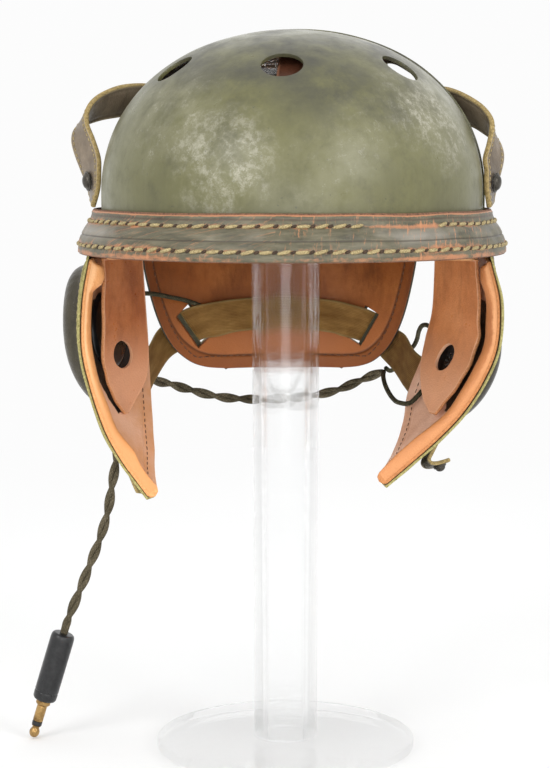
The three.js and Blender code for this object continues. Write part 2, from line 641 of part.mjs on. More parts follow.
// The middle of a receiver on its flap: its place and its outward axis.
function receiverFrame(surface, side, seat) {
  const place = surface(seat.along, seat.down);
  const axis = outwardNormal(surface, side, seat.along, seat.down);
  return { place, axis };
}

function receiverBore(frame) {
  const length = 4 * receiverThickness;
  const radius = receiverRadius + pieceGap;
  const bore = new THREE.CylinderGeometry(radius, radius, length, 24).rotateX(Math.PI / 2);
  return toSolid(placed(bore, frame.place, frame.axis));
}

function addEarFlap(group, name, surface, side, frame) {
  const outerFace = grownSurface(surface, side, 0);
  const innerFace = grownSurface(surface, side, -earFlapWall);
  const outer = toSolid(solidBetween(outerFace, innerFace, 4, 10)).subtract(receiverBore(frame));
  group.add(named(`ear_flap_${name}`, toGeometry(outer), 'greenLeather'));

  const depth = earFlapWall + earLayerGap;
  const shrunk = (u, v) => surface(
    earLiningMargin + u * (1 - 2 * earLiningMargin),
    earLiningTop + v * (1 - earLiningTop - earLiningMargin),
  );
  const rolled = (u) => {
    const share = Math.min(u / earRollShare, 1);
    return earRollThickness * Math.sqrt(Math.max(1 - Math.pow(2 * share - 1, 2), 0)) * (share < 1 ? 1 : 0);
  };
  const backing = grownSurface(shrunk, side, -depth);
  const facing = grownSurface(shrunk, side, (u) => -depth - earLiningWall - rolled(u));
  const stretched = (face) => (u, v) => face(Math.pow(u, earColumnCrowding), v);
  const lining = toSolid(solidBetween(stretched(backing), stretched(facing), 8, 10));
  group.add(named(`ear_lining_${name}`, toGeometry(lining.subtract(receiverBore(frame))), 'paleLeather'));
}

function addLeaf(group, name, edges, side, holeShare) {
  const surface = flapSurface(edges, side);
  const face = grownSurface(surface, side, leafWall / 2);
  const back = grownSurface(surface, side, -leafWall / 2);
  const hole = new THREE.CylinderGeometry(0.5, 0.5, earHoleBore, 16).rotateX(Math.PI / 2);
  hole.scale(earHoleHeight, earHoleWidth, 1);
  const axis = outwardNormal(surface, side, holeShare.along, holeShare.down);
  const cutter = toSolid(placed(hole, surface(holeShare.along, holeShare.down), axis));
  const leaf = toSolid(solidBetween(face, back, 3, 7)).subtract(cutter);
  group.add(named(`ear_leaf_${name}`, toGeometry(leaf), 'tanLeather'));
}

// The cord boss on a receiver's inner face, reaching towards the rear and down by the given shares.
function bossSolid(frame, rearward, downward) {
  const rear = new THREE.Vector3(0, 0, 1).cross(frame.axis).normalize();
  if (rear.y < 0) rear.negate();
  const down = frame.axis.clone().cross(rear);
  if (down.z > 0) down.negate();
  const way = rear.multiplyScalar(rearward).addScaledVector(down, downward).normalize();
  const depth = receiverOutside - receiverThickness - bossRadius + bossBite;
  const start = frame.place.clone().addScaledVector(frame.axis, depth);
  const middle = start.addScaledVector(way, (bossReach + bossRoot) / 2);
  const length = bossReach - bossRoot;
  const boss = new THREE.CylinderGeometry(bossRadius, bossRadius, length, bossSides).rotateX(Math.PI / 2);
  return toSolid(placed(boss, middle, way));
}

function addReceiver(group, name, frame, bosses) {
  const body = new THREE.CylinderGeometry(receiverRadius, receiverRadius, receiverThickness, 24);
  body.rotateX(Math.PI / 2).translate(0, 0, receiverOutside - receiverThickness / 2);
  let receiver = toSolid(placed(body, frame.place, frame.axis));
  for (const { rearward, downward } of bosses) {
    receiver = receiver.add(bossSolid(frame, rearward, downward));
  }
  group.add(named(`receiver_${name}`, toGeometry(receiver), 'blackPlastic'));
}

// The leather cup over a receiver, laid on the flap round the receiver's seat.
function addCover(group, name, surface, side, seat) {
  const width = surface(1, seat.down).distanceTo(surface(0, seat.down));
  const height = surface(0.5, 1).distanceTo(surface(0.5, 0));
  const cup = (lift) => (u, v) => {
    const radius = v * coverRadius;
    const angle = u * 2 * Math.PI;
    const along = seat.along + radius * Math.cos(angle) / width;
    const down = seat.down + radius * Math.sin(angle) / height;
    const cupRadius = coverRadius - coverFlange;
    const inCup = Math.min(radius / cupRadius, 1);
    const rise = coverRise * Math.sqrt(1 - Math.pow(inCup, coverFullness));
    const foot = surface(along, down);
    return foot.addScaledVector(outwardNormal(surface, side, along, down), pieceGap + rise + lift);
  };
  const cover = solidBetween(cup(coverWall), cup(0), 14, 6, true);
  group.add(named(`receiver_cover_${name}`, cover, 'coverLeather'));
}

// The neck flap hangs from the back of the rim: its outer side, and the same moved towards the head.
function neckFlapSurface(inset) {
  return (u, v) => {
    const row = rowAt(neckFlapOutline, v);
    const x = neckFlapShift + (2 * u - 1) * row.half * neckFlapHalfWidth;
    const out = rearGrowth + neckFlapSeat - inset;
    const round = Math.sqrt(1 - Math.pow(x / (shellHalfWidth + out), 2));
    const y = (shellHalfLength + out) * round - neckFlapLean * Math.max(row.down, 0);
    return new THREE.Vector3(x, y, -row.down * neckFlapDrop);
  };
}

function webbingPoint(row, edge) {
  const x = edge === 'top' ? row.topX : row.lowX;
  const y = edge === 'top' ? row.topY : row.lowY;
  const down = edge === 'top' ? row.topDown : row.lowDown;
  return new THREE.Vector3(x * shellHalfWidth, y * shellHalfLength, -down * neckFlapDrop);
}

function slitCutter(row) {
  const top = webbingPoint(webbingEdges[row], 'top');
  const low = webbingPoint(webbingEdges[row], 'low');
  const length = top.distanceTo(low) + 2 * slitSpare;
  const box = new THREE.BoxGeometry(slitWidth, slitCutDepth, length);
  return toSolid(placed(box, top.clone().lerp(low, 0.5), top.sub(low).normalize()));
}

function addNeckFlap(group) {
  const linedInset = neckFlapWall + pieceGap;
  const layers = [
    ['neck_flap', 0, neckFlapWall, 'greenLeather'],
    ['neck_lining', linedInset, neckLiningWall, 'tanLeather'],
  ];
  for (const [name, inset, wall, material] of layers) {
    const solid = solidBetween(neckFlapSurface(inset), neckFlapSurface(inset + wall), 12, 8);
    const cut = toSolid(solid).subtract(slitCutter(leftSlitRow)).subtract(slitCutter(rightSlitRow));
    group.add(named(name, toGeometry(cut), material));
  }
}

function addWebbing(group) {
  const middle = (u, v) => {
    const row = rowAt(webbingEdges, v);
    return webbingPoint(row, 'top').lerp(webbingPoint(row, 'low'), u);
  };
  const front = offsetSurface(middle, webbingWall / 2);
  const back = offsetSurface(middle, -webbingWall / 2);
  group.add(named('elastic_webbing', solidBetween(front, back, 1, 36), 'webbing'));
}

function sideStrapSurface(edges, side) {
  return (u, v) => {
    const row = rowAt(edges, v);
    return new THREE.Vector3(
      side * THREE.MathUtils.lerp(row.frontOut, row.rearOut, u) * shellHalfWidth,
      THREE.MathUtils.lerp(row.frontBack, row.rearBack, u) * shellHalfLength,
      THREE.MathUtils.lerp(row.frontUp, row.rearUp, u) * shellCrest,
    );
  };
}

function domedCap(radius, rise) {
  const profile = [[0, 0], [radius, 0]];
  for (let i = 1; i < 4; i += 1) {
    const angle = i / 4 * Math.PI / 2;
    profile.push([radius * Math.cos(angle), capEdge + rise * Math.sin(angle)]);
  }
  profile.push([0, capEdge + rise]);
  return lathe(profile, 12);
}

function addSideStrap(group, name, edges, side) {
  const surface = sideStrapSurface(edges, side);
  const outer = grownSurface(surface, side, sideStrapWall / 2);
  const inner = grownSurface(surface, side, -sideStrapWall / 2);
  group.add(named(`side_strap_${name}`, solidBetween(outer, inner, 1, 24), 'strapLeather'));
  const studs = [
    ['strap_snap', snapShare, snapRadius, snapRise],
    ['strap_rivet', rivetShare, rivetRadius, rivetRise],
  ];
  for (const [stud, share, radius, rise] of studs) {
    const axis = outwardNormal(surface, side, 0.5, share);
    const place = surface(0.5, share).addScaledVector(axis, sideStrapWall / 2 + studSeat);
    group.add(named(`${stud}_${name}`, placed(domedCap(radius, rise), place, axis), 'darkMetal'));
  }
}

// The middle of a short leather tab on the outside of a flap, from one place on it to another; its
// path says how far along it is and how far it stands off.
function tabMiddle(surface, side, from, to, shape, path) {
  const length = surface(to.along, to.down).distanceTo(surface(from.along, from.down));
  const across = shape.width / length;
  const flapWidth = surface(1, from.down).distanceTo(surface(0, from.down));
  const flapHeight = surface(0.5, 1).distanceTo(surface(0.5, 0));
  const tallness = flapHeight / flapWidth;
  const dAlong = to.along - from.along;
  const dDown = to.down - from.down;
  return (u, v) => {
    const row = rowAt(path, v);
    const shift = (u - 0.5) * across;
    const along = from.along + row.run * dAlong + shift * dDown * tallness;
    const down = from.down + row.run * dDown - shift * dAlong / tallness;
    const lift = pieceGap + chinTabWall / 2 + row.stand * shape.stand;
    return surface(along, down).addScaledVector(outwardNormal(surface, side, along, down), lift);
  };
}

function tube(route, diameter, sides, step) {
  const points = route.map((point) => new THREE.Vector3(...point));
  const path = new THREE.CatmullRomCurve3(points, false, 'centripetal');
  const section = new THREE.Shape();
  for (let i = 0; i < sides; i += 1) {
    const angle = i / sides * 2 * Math.PI;
    const [x, y] = [diameter / 2 * Math.cos(angle), diameter / 2 * Math.sin(angle)];
    if (i === 0) section.moveTo(x, y);
    else section.lineTo(x, y);
  }
  section.closePath();
  const steps = Math.ceil(path.getLength() / step);
  const geometry = new THREE.ExtrudeGeometry(section, { steps, extrudePath: path, curveSegments: 1 });
  return facingOut(cleanGeometry(geometry));
}

// Turns a profile's shares of a radius and a length into lathe points.
function profileOf(rows, radius, length) {
  return rows.map((row) => [row.out * radius, row.along * length]);
}

function plugAxis() {
  const tilt = THREE.MathUtils.degToRad(plugTilt);
  return new THREE.Vector3(Math.sin(tilt), 0, Math.cos(tilt));
}

const plugLength = plugTipLength + plugInsulatorLength + plugSleeveLength + plugCollarLength + plugBodyLength
  + 4 * pieceGap;

function plugTipPlace() {
  return new THREE.Vector3(plugTipX, 0, tipClearance - rimHeight);
}

function addPlug(group) {
  const axis = plugAxis();
  const tip = plugTipPlace();
  const pieces = [
    ['plug_tip', plugTipLength, plugSleeveRadius, 'brass', plugTipProfile],
    ['plug_insulator', plugInsulatorLength, plugSleeveRadius, 'blackPlastic', plainProfile],
    ['plug_sleeve', plugSleeveLength, plugSleeveRadius, 'brass', plainProfile],
    ['plug_collar', plugCollarLength, plugCollarRadius, 'brass', plugCollarProfile],
    ['plug_body', plugBodyLength, plugBodyRadius, 'blackPlastic', plugBodyProfile],
  ];
  let along = 0;
  for (const [name, length, radius, material, profile] of pieces) {
    const place = tip.clone().addScaledVector(axis, along);
    const turned = lathe(profileOf(profile, radius, length), plugSides);
    group.add(named(name, placed(turned, place, axis), material));
    along += length + pieceGap;
  }
}

function addCords(group) {
  const axis = plugAxis();
  const top = plugTipPlace().addScaledVector(axis, plugLength);
  const straight = top.clone().addScaledVector(axis, plugStraight * cordDiameter);
  const route = [...headsetCordRoute, straight.toArray(), top.toArray()];
  group.add(named('headset_cord', tube(route, cordDiameter, cordSides, cordStep), 'braid'));
  const leads = [
    ['lead_left', leftLeadRoute],
    ['lead_right_upper', rightUpperLeadRoute],
    ['lead_right_lower', rightLowerLeadRoute],
  ];
  for (const [name, points] of leads) {
    group.add(named(name, tube(points, leadDiameter, leadSides, leadStep), 'braid'));
  }
}

function addEarSide(group, name, side, parts) {
  const surface = flapSurface(parts.flapEdges, side);
  const frame = receiverFrame(surface, side, parts.seat);
  addEarFlap(group, name, surface, side, frame);
  addReceiver(group, name, frame, parts.bosses);
  addCover(group, name, surface, side, parts.seat);
  addLeaf(group, name, parts.leafEdges, side, parts.hole);
}

function addEars(group) {
  addEarSide(group, 'left', -1, {
    flapEdges: leftFlapEdges,
    leafEdges: leftLeafEdges,
    seat: leftReceiverSeat,
    hole: leftEarHole,
    bosses: leftBosses,
  });
  addEarSide(group, 'right', 1, {
    flapEdges: rightFlapEdges,
    leafEdges: rightLeafEdges,
    seat: rightReceiverSeat,
    hole: rightEarHole,
    bosses: rightBosses,
  });
}

function tabSolid(middle, rows) {
  const half = chinTabWall / 2;
  return solidBetween(offsetSurface(middle, half), offsetSurface(middle, -half), 2, rows);
}

function addChinTabs(group) {
  const right = flapSurface(rightFlapEdges, 1);
  const left = flapSurface(leftFlapEdges, -1);
  const rightTab = tabMiddle(right, 1, rightTabFrom, rightTabTo, rightTabShape, foldedTabPath);
  group.add(named('chin_tab_right', tabSolid(rightTab, 14), 'coverLeather'));
  const leftTab = tabMiddle(left, -1, leftTabFrom, leftTabTo, leftTabShape, flatTabPath);
  group.add(named('chin_tab_left', tabSolid(leftTab, 5), 'strapLeather'));
  const axis = normalAt(rightTab, 0.5, chinSnapShare);
  if (axis.z > 0) axis.negate();
  const place = rightTab(0.5, chinSnapShare).addScaledVector(axis, chinTabWall / 2 + pieceGap);
  const snap = placed(domedCap(chinSnapRadius, chinSnapHeight), place, axis);
  group.add(named('chin_snap_right', snap, 'darkMetal'));
}

// The stand's head follows the underside of the crown straps.
function addStand(assembly) {
  const stand = new THREE.Group();
  stand.position.set(standX, 0, 0);
  const headInset = crownStrapInset + 2 * crownStrapWall + 3 * pieceGap;
  const crown = rimHeight + shellCrest - headInset;
  const fall = (r) => {
    const reach = (r + Math.abs(standX)) / (shellHalfWidth - headInset);
    const lift = Math.pow(1 - Math.pow(reach, shellRoundness), 1 / shellRoundness);
    return (shellCrest - shellUpright - headInset) * (1 - lift);
  };
  const top = crown - pieceGap;
  const under = top - fall(standHeadRadius) - standHeadThickness;
  const headProfile = [[0, under], [standHeadRadius, under]];
  for (let i = 0; i <= 4; i += 1) {
    const r = standHeadRadius * (1 - i / 4);
    headProfile.push([r, top - fall(r)]);
  }
  stand.add(named('stand_head', lathe(headProfile, 20), 'acrylic'));
  const foot = standBaseThickness + pieceGap;
  const cap = under - pieceGap;
  const columnProfile = [
    [standColumnFootRadius - standColumnWall, foot], [standColumnFootRadius, foot],
    [standColumnRadius, cap], [standColumnRadius - standColumnWall, cap],
    [standColumnFootRadius - standColumnWall, foot],
  ];
  stand.add(named('stand_column', lathe(columnProfile, 20), 'acrylic'));
  const inner = standBaseRadius - standBaseEdge;
  const shoulder = standBaseThickness - standBaseEdge;
  const baseProfile = [
    [0, 0], [inner, 0], [standBaseRadius, standBaseEdge], [standBaseRadius, shoulder],
    [inner, standBaseThickness], [0, standBaseThickness],
  ];
  stand.add(named('stand_base', lathe(baseProfile, 28), 'acrylic'));
  assembly.add(stand);
}

function tankerHelmet() {
  const assembly = new THREE.Group();
  const helmet = new THREE.Group();
  helmet.position.set(0, 0, rimHeight);
  addShell(helmet);
  addRimBand(helmet);
  addSweatband(helmet);
  addCrownStraps(helmet);
  addEars(helmet);
  addNeckFlap(helmet);
  addWebbing(helmet);
  addSideStrap(helmet, 'left', leftStrapEdges, -1);
  addSideStrap(helmet, 'right', rightStrapEdges, 1);
  addChinTabs(helmet);
  addCords(helmet);
  addPlug(helmet);
  assembly.add(helmet);
  addStand(assembly);
  return assembly;
}

export default tankerHelmet();
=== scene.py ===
import math

import bpy
import bmesh
import numpy as np
from mathutils import Matrix, Vector


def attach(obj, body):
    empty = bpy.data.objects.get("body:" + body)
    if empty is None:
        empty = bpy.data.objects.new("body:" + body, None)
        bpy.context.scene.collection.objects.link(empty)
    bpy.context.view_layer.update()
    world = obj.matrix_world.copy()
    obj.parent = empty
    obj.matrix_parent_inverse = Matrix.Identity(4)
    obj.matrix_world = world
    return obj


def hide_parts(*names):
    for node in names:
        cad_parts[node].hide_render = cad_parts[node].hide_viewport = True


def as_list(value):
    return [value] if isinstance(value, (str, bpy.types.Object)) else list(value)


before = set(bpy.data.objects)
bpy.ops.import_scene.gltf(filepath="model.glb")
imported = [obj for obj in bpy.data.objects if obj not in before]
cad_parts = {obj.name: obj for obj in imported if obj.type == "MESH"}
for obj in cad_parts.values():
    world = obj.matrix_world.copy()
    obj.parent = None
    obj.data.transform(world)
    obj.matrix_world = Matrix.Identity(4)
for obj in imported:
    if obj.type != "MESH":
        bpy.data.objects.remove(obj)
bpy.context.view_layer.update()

# A 1940s tank crew helmet with its headset on a clear stand.
# Sizes are in millimetres from the plane of the rim, as in the CAD, and become metres in each mesh.

MM = 0.001
PIECE_GAP = 0.3
TIP_CLEARANCE = 0.8
RIM_HEIGHT = 308

# Shell and vents
SHELL_HALF_WIDTH = 115
SHELL_HALF_LENGTH = 132
SHELL_CREST = 132.5
SHELL_UPRIGHT = 35
SHELL_UPRIGHT_SHARE = 0.12
SHELL_ROUNDNESS = 2.1
SHELL_WALL = 2.2
REAR_SHELL_EDGE = 16
SHELL_OVERLAP = 14
REAR_GROWTH = SHELL_WALL + PIECE_GAP
VENT_RADIUS = 12
VENT_HEIGHT = 108
VENT_ANGLES = (0, 56, 124, 180, 236, 304)
FAR = 400

# Rim band, sweatband and crown straps
BAND_HEIGHT = 25
BAND_HIGH_SEAM = 6.5
BAND_CREASE = 15.8
BAND_LOW_SEAM = 21.8
BAND_SEAM_BREAK = (0.06, 0.125)
SWEATBAND_HEIGHT = 30
SWEATBAND_WALL = 2
SWEATBAND_SIDE_DROP = 4.1
SWEATBAND_DROP_POWER = 6
CROWN_STRAP_WIDTH = 22
LONG_STRAP_SHIFT = 8
CROWN_STRAP_WALL = 2
CROWN_STRAP_INSET = 8
CROWN_STRAP_FOOT = 0.9
CROWN_STRAP_SEAT = 3.4
CROWN_STRAP_DRAW = 3
CROWN_STRAP_CURL = 0.5

# Ear flaps, their linings and leaves, receivers and covers
EAR_FLAP_DROP = 147
EAR_FLAP_WALL = 1.5
EAR_LINING_WALL = 2
EAR_ROLL_THICKNESS = 7
EAR_ROLL_SHARE = 0.13
EAR_LINING_MARGIN = 0.02
EAR_LINING_TOP = 0.1
EAR_LAYER_GAP = 1.2
EAR_FLAP_SEAM = 5
EAR_LINING_SEAM = 8
LEAF_WALL = 2
EAR_HOLE_WIDTH = 19
EAR_HOLE_HEIGHT = 16.6
RECEIVER_RADIUS = 24
RECEIVER_THICKNESS = 17
RECEIVER_OUTSIDE = 8.5
RECEIVER_HOLE_RINGS = ((2.6, 6), (5.2, 10))
RECEIVER_HOLE_RADIUS = 0.55
RECEIVER_HOLE_DEPTH = 3.4
COVER_RADIUS = 38
COVER_RISE = 13.5
COVER_FLANGE = 4
COVER_WALL = 1.8
COVER_FULLNESS = 4
COVER_SEAM = 2
COVER_PUCKERS = 34

# Neck flap and webbing
NECK_FLAP_DROP = 84
NECK_FLAP_HALF_WIDTH = 88
NECK_FLAP_SHIFT = -13.5
NECK_FLAP_LEAN = 10
NECK_FLAP_WALL = 2.2
NECK_FLAP_SEAT = 7.9
NECK_LINING_WALL = 2
NECK_SEAM = 8.5
SLIT_WIDTH = 10.5
OUTER_SLIT_WIDTH = 6.5
SLIT_SPARE = 1.5
SLIT_ROWS = (5, 11)
WEBBING_WIDTH = 22
WEBBING_WALL = 1.2

# Side straps, chin tabs and their caps
SIDE_STRAP_WALL = 3
SIDE_STRAP_SEAM = 2.6
SNAP_SHARE = 0.105
SNAP_RADIUS = 6
SNAP_RISE = 2.6
RIVET_SHARE = 0.94
RIVET_RADIUS = 4.5
RIVET_RISE = 1.6
STUD_STANDOFF = 1.3
CHIN_TAB_WALL = 2.4
CHIN_TAB_WIDTH = 12
FOLDED_TAB_ENDS = ((0.46, 0.69), (0.34, 0.83))
FOLDED_TAB_REACH = 14
FLAT_TAB_ENDS = ((0.5, 0.78), (0.4, 0.93))
FLAT_TAB_REACH = 1.5
CHIN_SNAP_SHARE = 0.86
CHIN_SNAP_RADIUS = 4

# Leads, headset cord and plug
LEAD_DIAMETER = 3
CORD_DIAMETER = 6.4
CORD_TWIST_PITCH = 34
CORD_SOCKET = 0.6
CURVE_STEP = 1.2
PLUG_TILT = 17
PLUG_TIP_X = -164
PLUG_BODY_RADIUS = 7.5
PLUG_BODY_LENGTH = 45
PLUG_COLLAR_RADIUS = 4.6
PLUG_COLLAR_LENGTH = 3
PLUG_SLEEVE_RADIUS = 3.175
PLUG_SLEEVE_LENGTH = 10.5
PLUG_INSULATOR_LENGTH = 2.5
PLUG_TIP_LENGTH = 8
PLUG_STRAIGHT = 1.6

# Stand
STAND_X = -4
STAND_BASE_RADIUS = 80
STAND_BASE_THICKNESS = 6
STAND_COLUMN_RADIUS = 21.5
STAND_COLUMN_FOOT = 19.5
STAND_COLUMN_WALL = 4
STAND_HEAD_RADIUS = 42
STAND_HEAD_THICKNESS = 8
STAND_BASE_EDGE = 1

# The photo's camera: place in metres, tilt and turn in degrees, lens in mm
CAMERA_PLACE = (0.07744, -1.1975, 0.360)
CAMERA_TILT = 83.65
CAMERA_TURN = 4.2037
CAMERA_LENS = 92.25

# Stitches: pitch, length and half thickness of each kind, in mm
BAND_STITCH = (9.9, 8.0, 1.05)
BAND_STITCH_HOLE = (9.9, 2.8, 0.85)
EAR_FLAP_STITCH = (5.2, 3.6, 0.4)
EAR_LINING_STITCH = (4.6, 3.0, 0.3)
COVER_STITCH = (4.6, 3.1, 0.36)
NECK_STITCH = (4.6, 3.4, 0.42)
SIDE_STRAP_STITCH = (3.6, 2.8, 0.38)


# Tables of shares, as in the CAD: the columns are named, and a row is read smoothly between two.
def table(columns, rows):
    return {"columns": columns.split(), "rows": np.array(rows, float)}


def row_at(source, share):
    rows = source["rows"]
    last = len(rows) - 1
    place = np.clip(share, 0, 1) * last
    i = np.minimum(place.astype(int), last - 1)
    t = (place - i)[..., None]
    p, q = rows[np.maximum(i - 1, 0)], rows[i]
    r, s = rows[i + 1], rows[np.minimum(i + 2, last)]
    value = 0.5 * (2 * q + (r - p) * t + (2 * p - 5 * q + 4 * r - s) * t**2 + (3 * q - 3 * r + s - p) * t**3)
    return {name: value[..., n] for n, name in enumerate(source["columns"])}


BAND_SECTION = table("height out inside", [
    (1.0, 2.6, 0.6), (0.76, 5.0, 1.8), (0.58, 8.0, 5.2), (0.38, 10.4, 8.2), (0.2, 11.6, 9.2),
    (0.04, 11.9, 9.4), (0.0, 11.2, 10.0),
])
FLAP_COLUMNS = "down front_out front_back rear_out rear_back bow"
LEFT_FLAP_EDGES = table(FLAP_COLUMNS, [
    (-0.03, 1.03, -0.29, 0.985, 0.38, 0.05), (0.05, 1.052, -0.3, 0.983, 0.38, 0.06),
    (0.2, 1.084, -0.31, 0.93, 0.38, 0.06), (0.39, 1.09, -0.31, 0.865, 0.365, 0.06),
    (0.56, 1.046, -0.3, 0.835, 0.3, 0.052), (0.73, 0.972, -0.3, 0.798, 0.15, 0.035),
    (0.85, 0.887, -0.3, 0.766, 0.0, 0.017), (0.93, 0.809, -0.31, 0.744, -0.137, 0.009),
    (1.0, 0.736, -0.325, 0.71, -0.26, 0.0),
])
RIGHT_FLAP_EDGES = table(FLAP_COLUMNS, [
    (-0.03, 1.03, -0.29, 0.99, 0.38, 0.045), (0.05, 1.058, -0.3, 0.955, 0.38, 0.04),
    (0.19, 1.1, -0.31, 0.87, 0.38, 0.035), (0.37, 1.092, -0.31, 0.775, 0.365, 0.035),
    (0.51, 1.025, -0.3, 0.696, 0.37, 0.05), (0.64, 0.922, -0.3, 0.634, 0.33, 0.052),
    (0.75, 0.794, -0.3, 0.614, 0.2, 0.03), (0.86, 0.636, -0.31, 0.562, 0.02, 0.016),
    (0.94, 0.515, -0.325, 0.486, -0.2, 0.0),
])
LEFT_LEAF_EDGES = table(FLAP_COLUMNS, [
    (0.03, 0.985, -0.167, 0.823, 0.1, 0.01), (0.2, 0.985, -0.18, 0.81, 0.1, 0.01),
    (0.44, 0.985, -0.18, 0.793, 0.1, 0.01), (0.545, 0.968, -0.15, 0.805, 0.085, 0.01),
    (0.625, 0.928, -0.11, 0.85, 0.025, 0.005), (0.675, 0.892, -0.075, 0.878, -0.038, 0.0),
])
RIGHT_LEAF_EDGES = table(FLAP_COLUMNS, [
    (0.03, 0.978, -0.167, 0.761, 0.212, 0.0), (0.25, 0.986, -0.167, 0.75, 0.212, 0.0),
    (0.38, 0.98, -0.167, 0.713, 0.212, 0.0), (0.5, 0.91, -0.17, 0.687, 0.14, 0.0),
    (0.605, 0.82, -0.14, 0.7, 0.03, 0.0), (0.66, 0.765, -0.13, 0.735, -0.09, 0.0),
])
NECK_FLAP_OUTLINE = table("down half", [
    (-0.07, 1.0), (0.16, 0.994), (0.54, 0.915), (0.78, 0.82), (0.92, 0.7), (0.98, 0.58), (1.0, 0.44),
])
STRAP_COLUMNS = "front_out front_back front_up rear_out rear_back rear_up"
LEFT_STRAP_EDGES = table(STRAP_COLUMNS, [
    (1.045, -0.09, 0.205, 1.075, 0.068, 0.22), (1.018, -0.09, 0.286, 1.104, 0.068, 0.312),
    (1.012, -0.083, 0.372, 1.135, 0.068, 0.38), (1.018, -0.068, 0.431, 1.165, 0.076, 0.446),
    (1.052, -0.038, 0.51, 1.183, 0.09, 0.506), (1.091, 0.0, 0.584, 1.177, 0.12, 0.55),
    (1.091, 0.038, 0.65, 1.143, 0.152, 0.58), (1.049, 0.114, 0.709, 1.07, 0.22, 0.606),
    (0.957, 0.22, 0.755, 1.004, 0.295, 0.62), (0.843, 0.333, 0.771, 0.94, 0.38, 0.628),
    (0.757, 0.44, 0.755, 0.861, 0.47, 0.602), (0.69, 0.5, 0.725, 0.796, 0.545, 0.58),
    (0.674, 0.576, 0.684, 0.76, 0.621, 0.543),
])
RIGHT_STRAP_EDGES = table(STRAP_COLUMNS, [
    (1.03, -0.09, 0.205, 1.05, 0.068, 0.22), (1.016, -0.09, 0.29, 1.066, 0.068, 0.3),
    (1.014, -0.083, 0.365, 1.09, 0.068, 0.37), (1.006, -0.068, 0.42, 1.102, 0.076, 0.425),
    (1.026, -0.038, 0.485, 1.094, 0.09, 0.468), (1.042, 0.0, 0.548, 1.07, 0.121, 0.508),
    (1.04, 0.045, 0.6, 1.03, 0.175, 0.532), (1.0, 0.12, 0.655, 0.972, 0.25, 0.566),
    (0.928, 0.2, 0.702, 0.92, 0.34, 0.586), (0.85, 0.3, 0.738, 0.87, 0.42, 0.604),
    (0.762, 0.42, 0.755, 0.848, 0.485, 0.606), (0.69, 0.5, 0.725, 0.796, 0.545, 0.58),
    (0.674, 0.576, 0.684, 0.76, 0.621, 0.543),
])
WEBBING_EDGES = table("top_x top_y top_down low_x low_y low_down", [
    (-0.935, 0.288, 0.857, -0.88, 0.258, 1.095), (-0.878, 0.44, 0.857, -0.85, 0.44, 1.13),
    (-0.861, 0.606, 0.786, -0.826, 0.606, 1.036), (-0.826, 0.705, 0.679, -0.765, 0.75, 0.893),
    (-0.748, 0.784, 0.583, -0.661, 0.835, 0.815), (-0.684, 0.77, 0.524, -0.579, 0.836, 0.754),
    (-0.591, 0.757, 0.482, -0.487, 0.811, 0.732), (-0.391, 0.864, 0.446, -0.365, 0.857, 0.696),
    (-0.104, 0.94, 0.429, -0.104, 0.925, 0.679), (0.157, 0.935, 0.458, 0.139, 0.922, 0.708),
    (0.304, 0.905, 0.5, 0.226, 0.912, 0.738), (0.393, 0.945, 0.545, 0.301, 0.961, 0.77),
    (0.47, 0.965, 0.607, 0.396, 0.978, 0.827), (0.532, 0.93, 0.679, 0.461, 0.935, 0.917),
    (0.592, 0.77, 0.714, 0.53, 0.773, 0.988), (0.643, 0.545, 0.798, 0.591, 0.545, 1.071),
    (0.705, 0.405, 0.845, 0.637, 0.365, 1.119),
])
FOLDED_TAB_PATH = table("run stand", [
    (0, 0), (0.3, 0.05), (0.6, 0.16), (0.85, 0.26), (0.98, 0.34), (1.0, 0.52), (0.92, 0.72), (0.8, 0.9),
    (0.68, 1.06),
])
FLAT_TAB_PATH = table("run stand", [(0, 0), (0.5, 0.3), (1, 1)])

# The routes of the leads and the cord, the same points as in the CAD.
LEFT_LEAD_ROUTE = [
    (-105.4, 25.5, -35.2), (-103.9, 33, -31.4), (-101.5, 42, -29.5), (-98, 53, -29.8), (-93, 67, -31.2),
    (-85.3, 81, -34), (-76.5, 93.5, -37), (-68.5, 104.1, -41), (-60.5, 110.5, -45), (-50, 117.1, -48),
    (-38, 122.1, -49),
]
RIGHT_UPPER_LEAD_ROUTE = [
    (55.3, 108.9, -82.4), (58.6, 112.4, -84.6), (63, 114.6, -81.6), (67, 112, -75.6),
    (70.6, 106.5, -70.6), (73.8, 100, -66.8), (76, 92, -61.6), (77.2, 83, -55.6), (79, 73, -51.4),
    (82, 60, -49.6), (85, 46, -50.6), (86.3, 33, -53.9),
]
RIGHT_LOWER_LEAD_ROUTE = [
    (54.2, 108.3, -85), (54.2, 97, -84.5), (54.2, 85, -84.6), (54.7, 72, -85.8), (56, 59, -88.3),
    (58.3, 47, -91.4), (61.3, 36, -94.2), (64.9, 27, -95.6), (71.5, 22.5, -95.6), (75.8, 22, -92),
    (79.4, 24.1, -88),
]
HEADSET_CORD_ROUTE = [
    (53.5, 112, -85), (40, 117, -91), (24.5, 120, -98), (8, 121.5, -102.5), (-9.4, 122, -104.7),
    (-36.5, 121, -105.6), (-57, 115.5, -103.5), (-73, 109, -99), (-89, 97.5, -93), (-102.5, 82, -88.5),
    (-109.5, 63, -88.5), (-112, 46, -94), (-112, 34, -106), (-112, 26, -120), (-112.6, 21, -133),
    (-115, 18, -149), (-117.5, 16, -165), (-122.5, 13, -183), (-127.5, 9.5, -196.5), (-132, 5, -209),
    (-136, 1, -219.5),
]


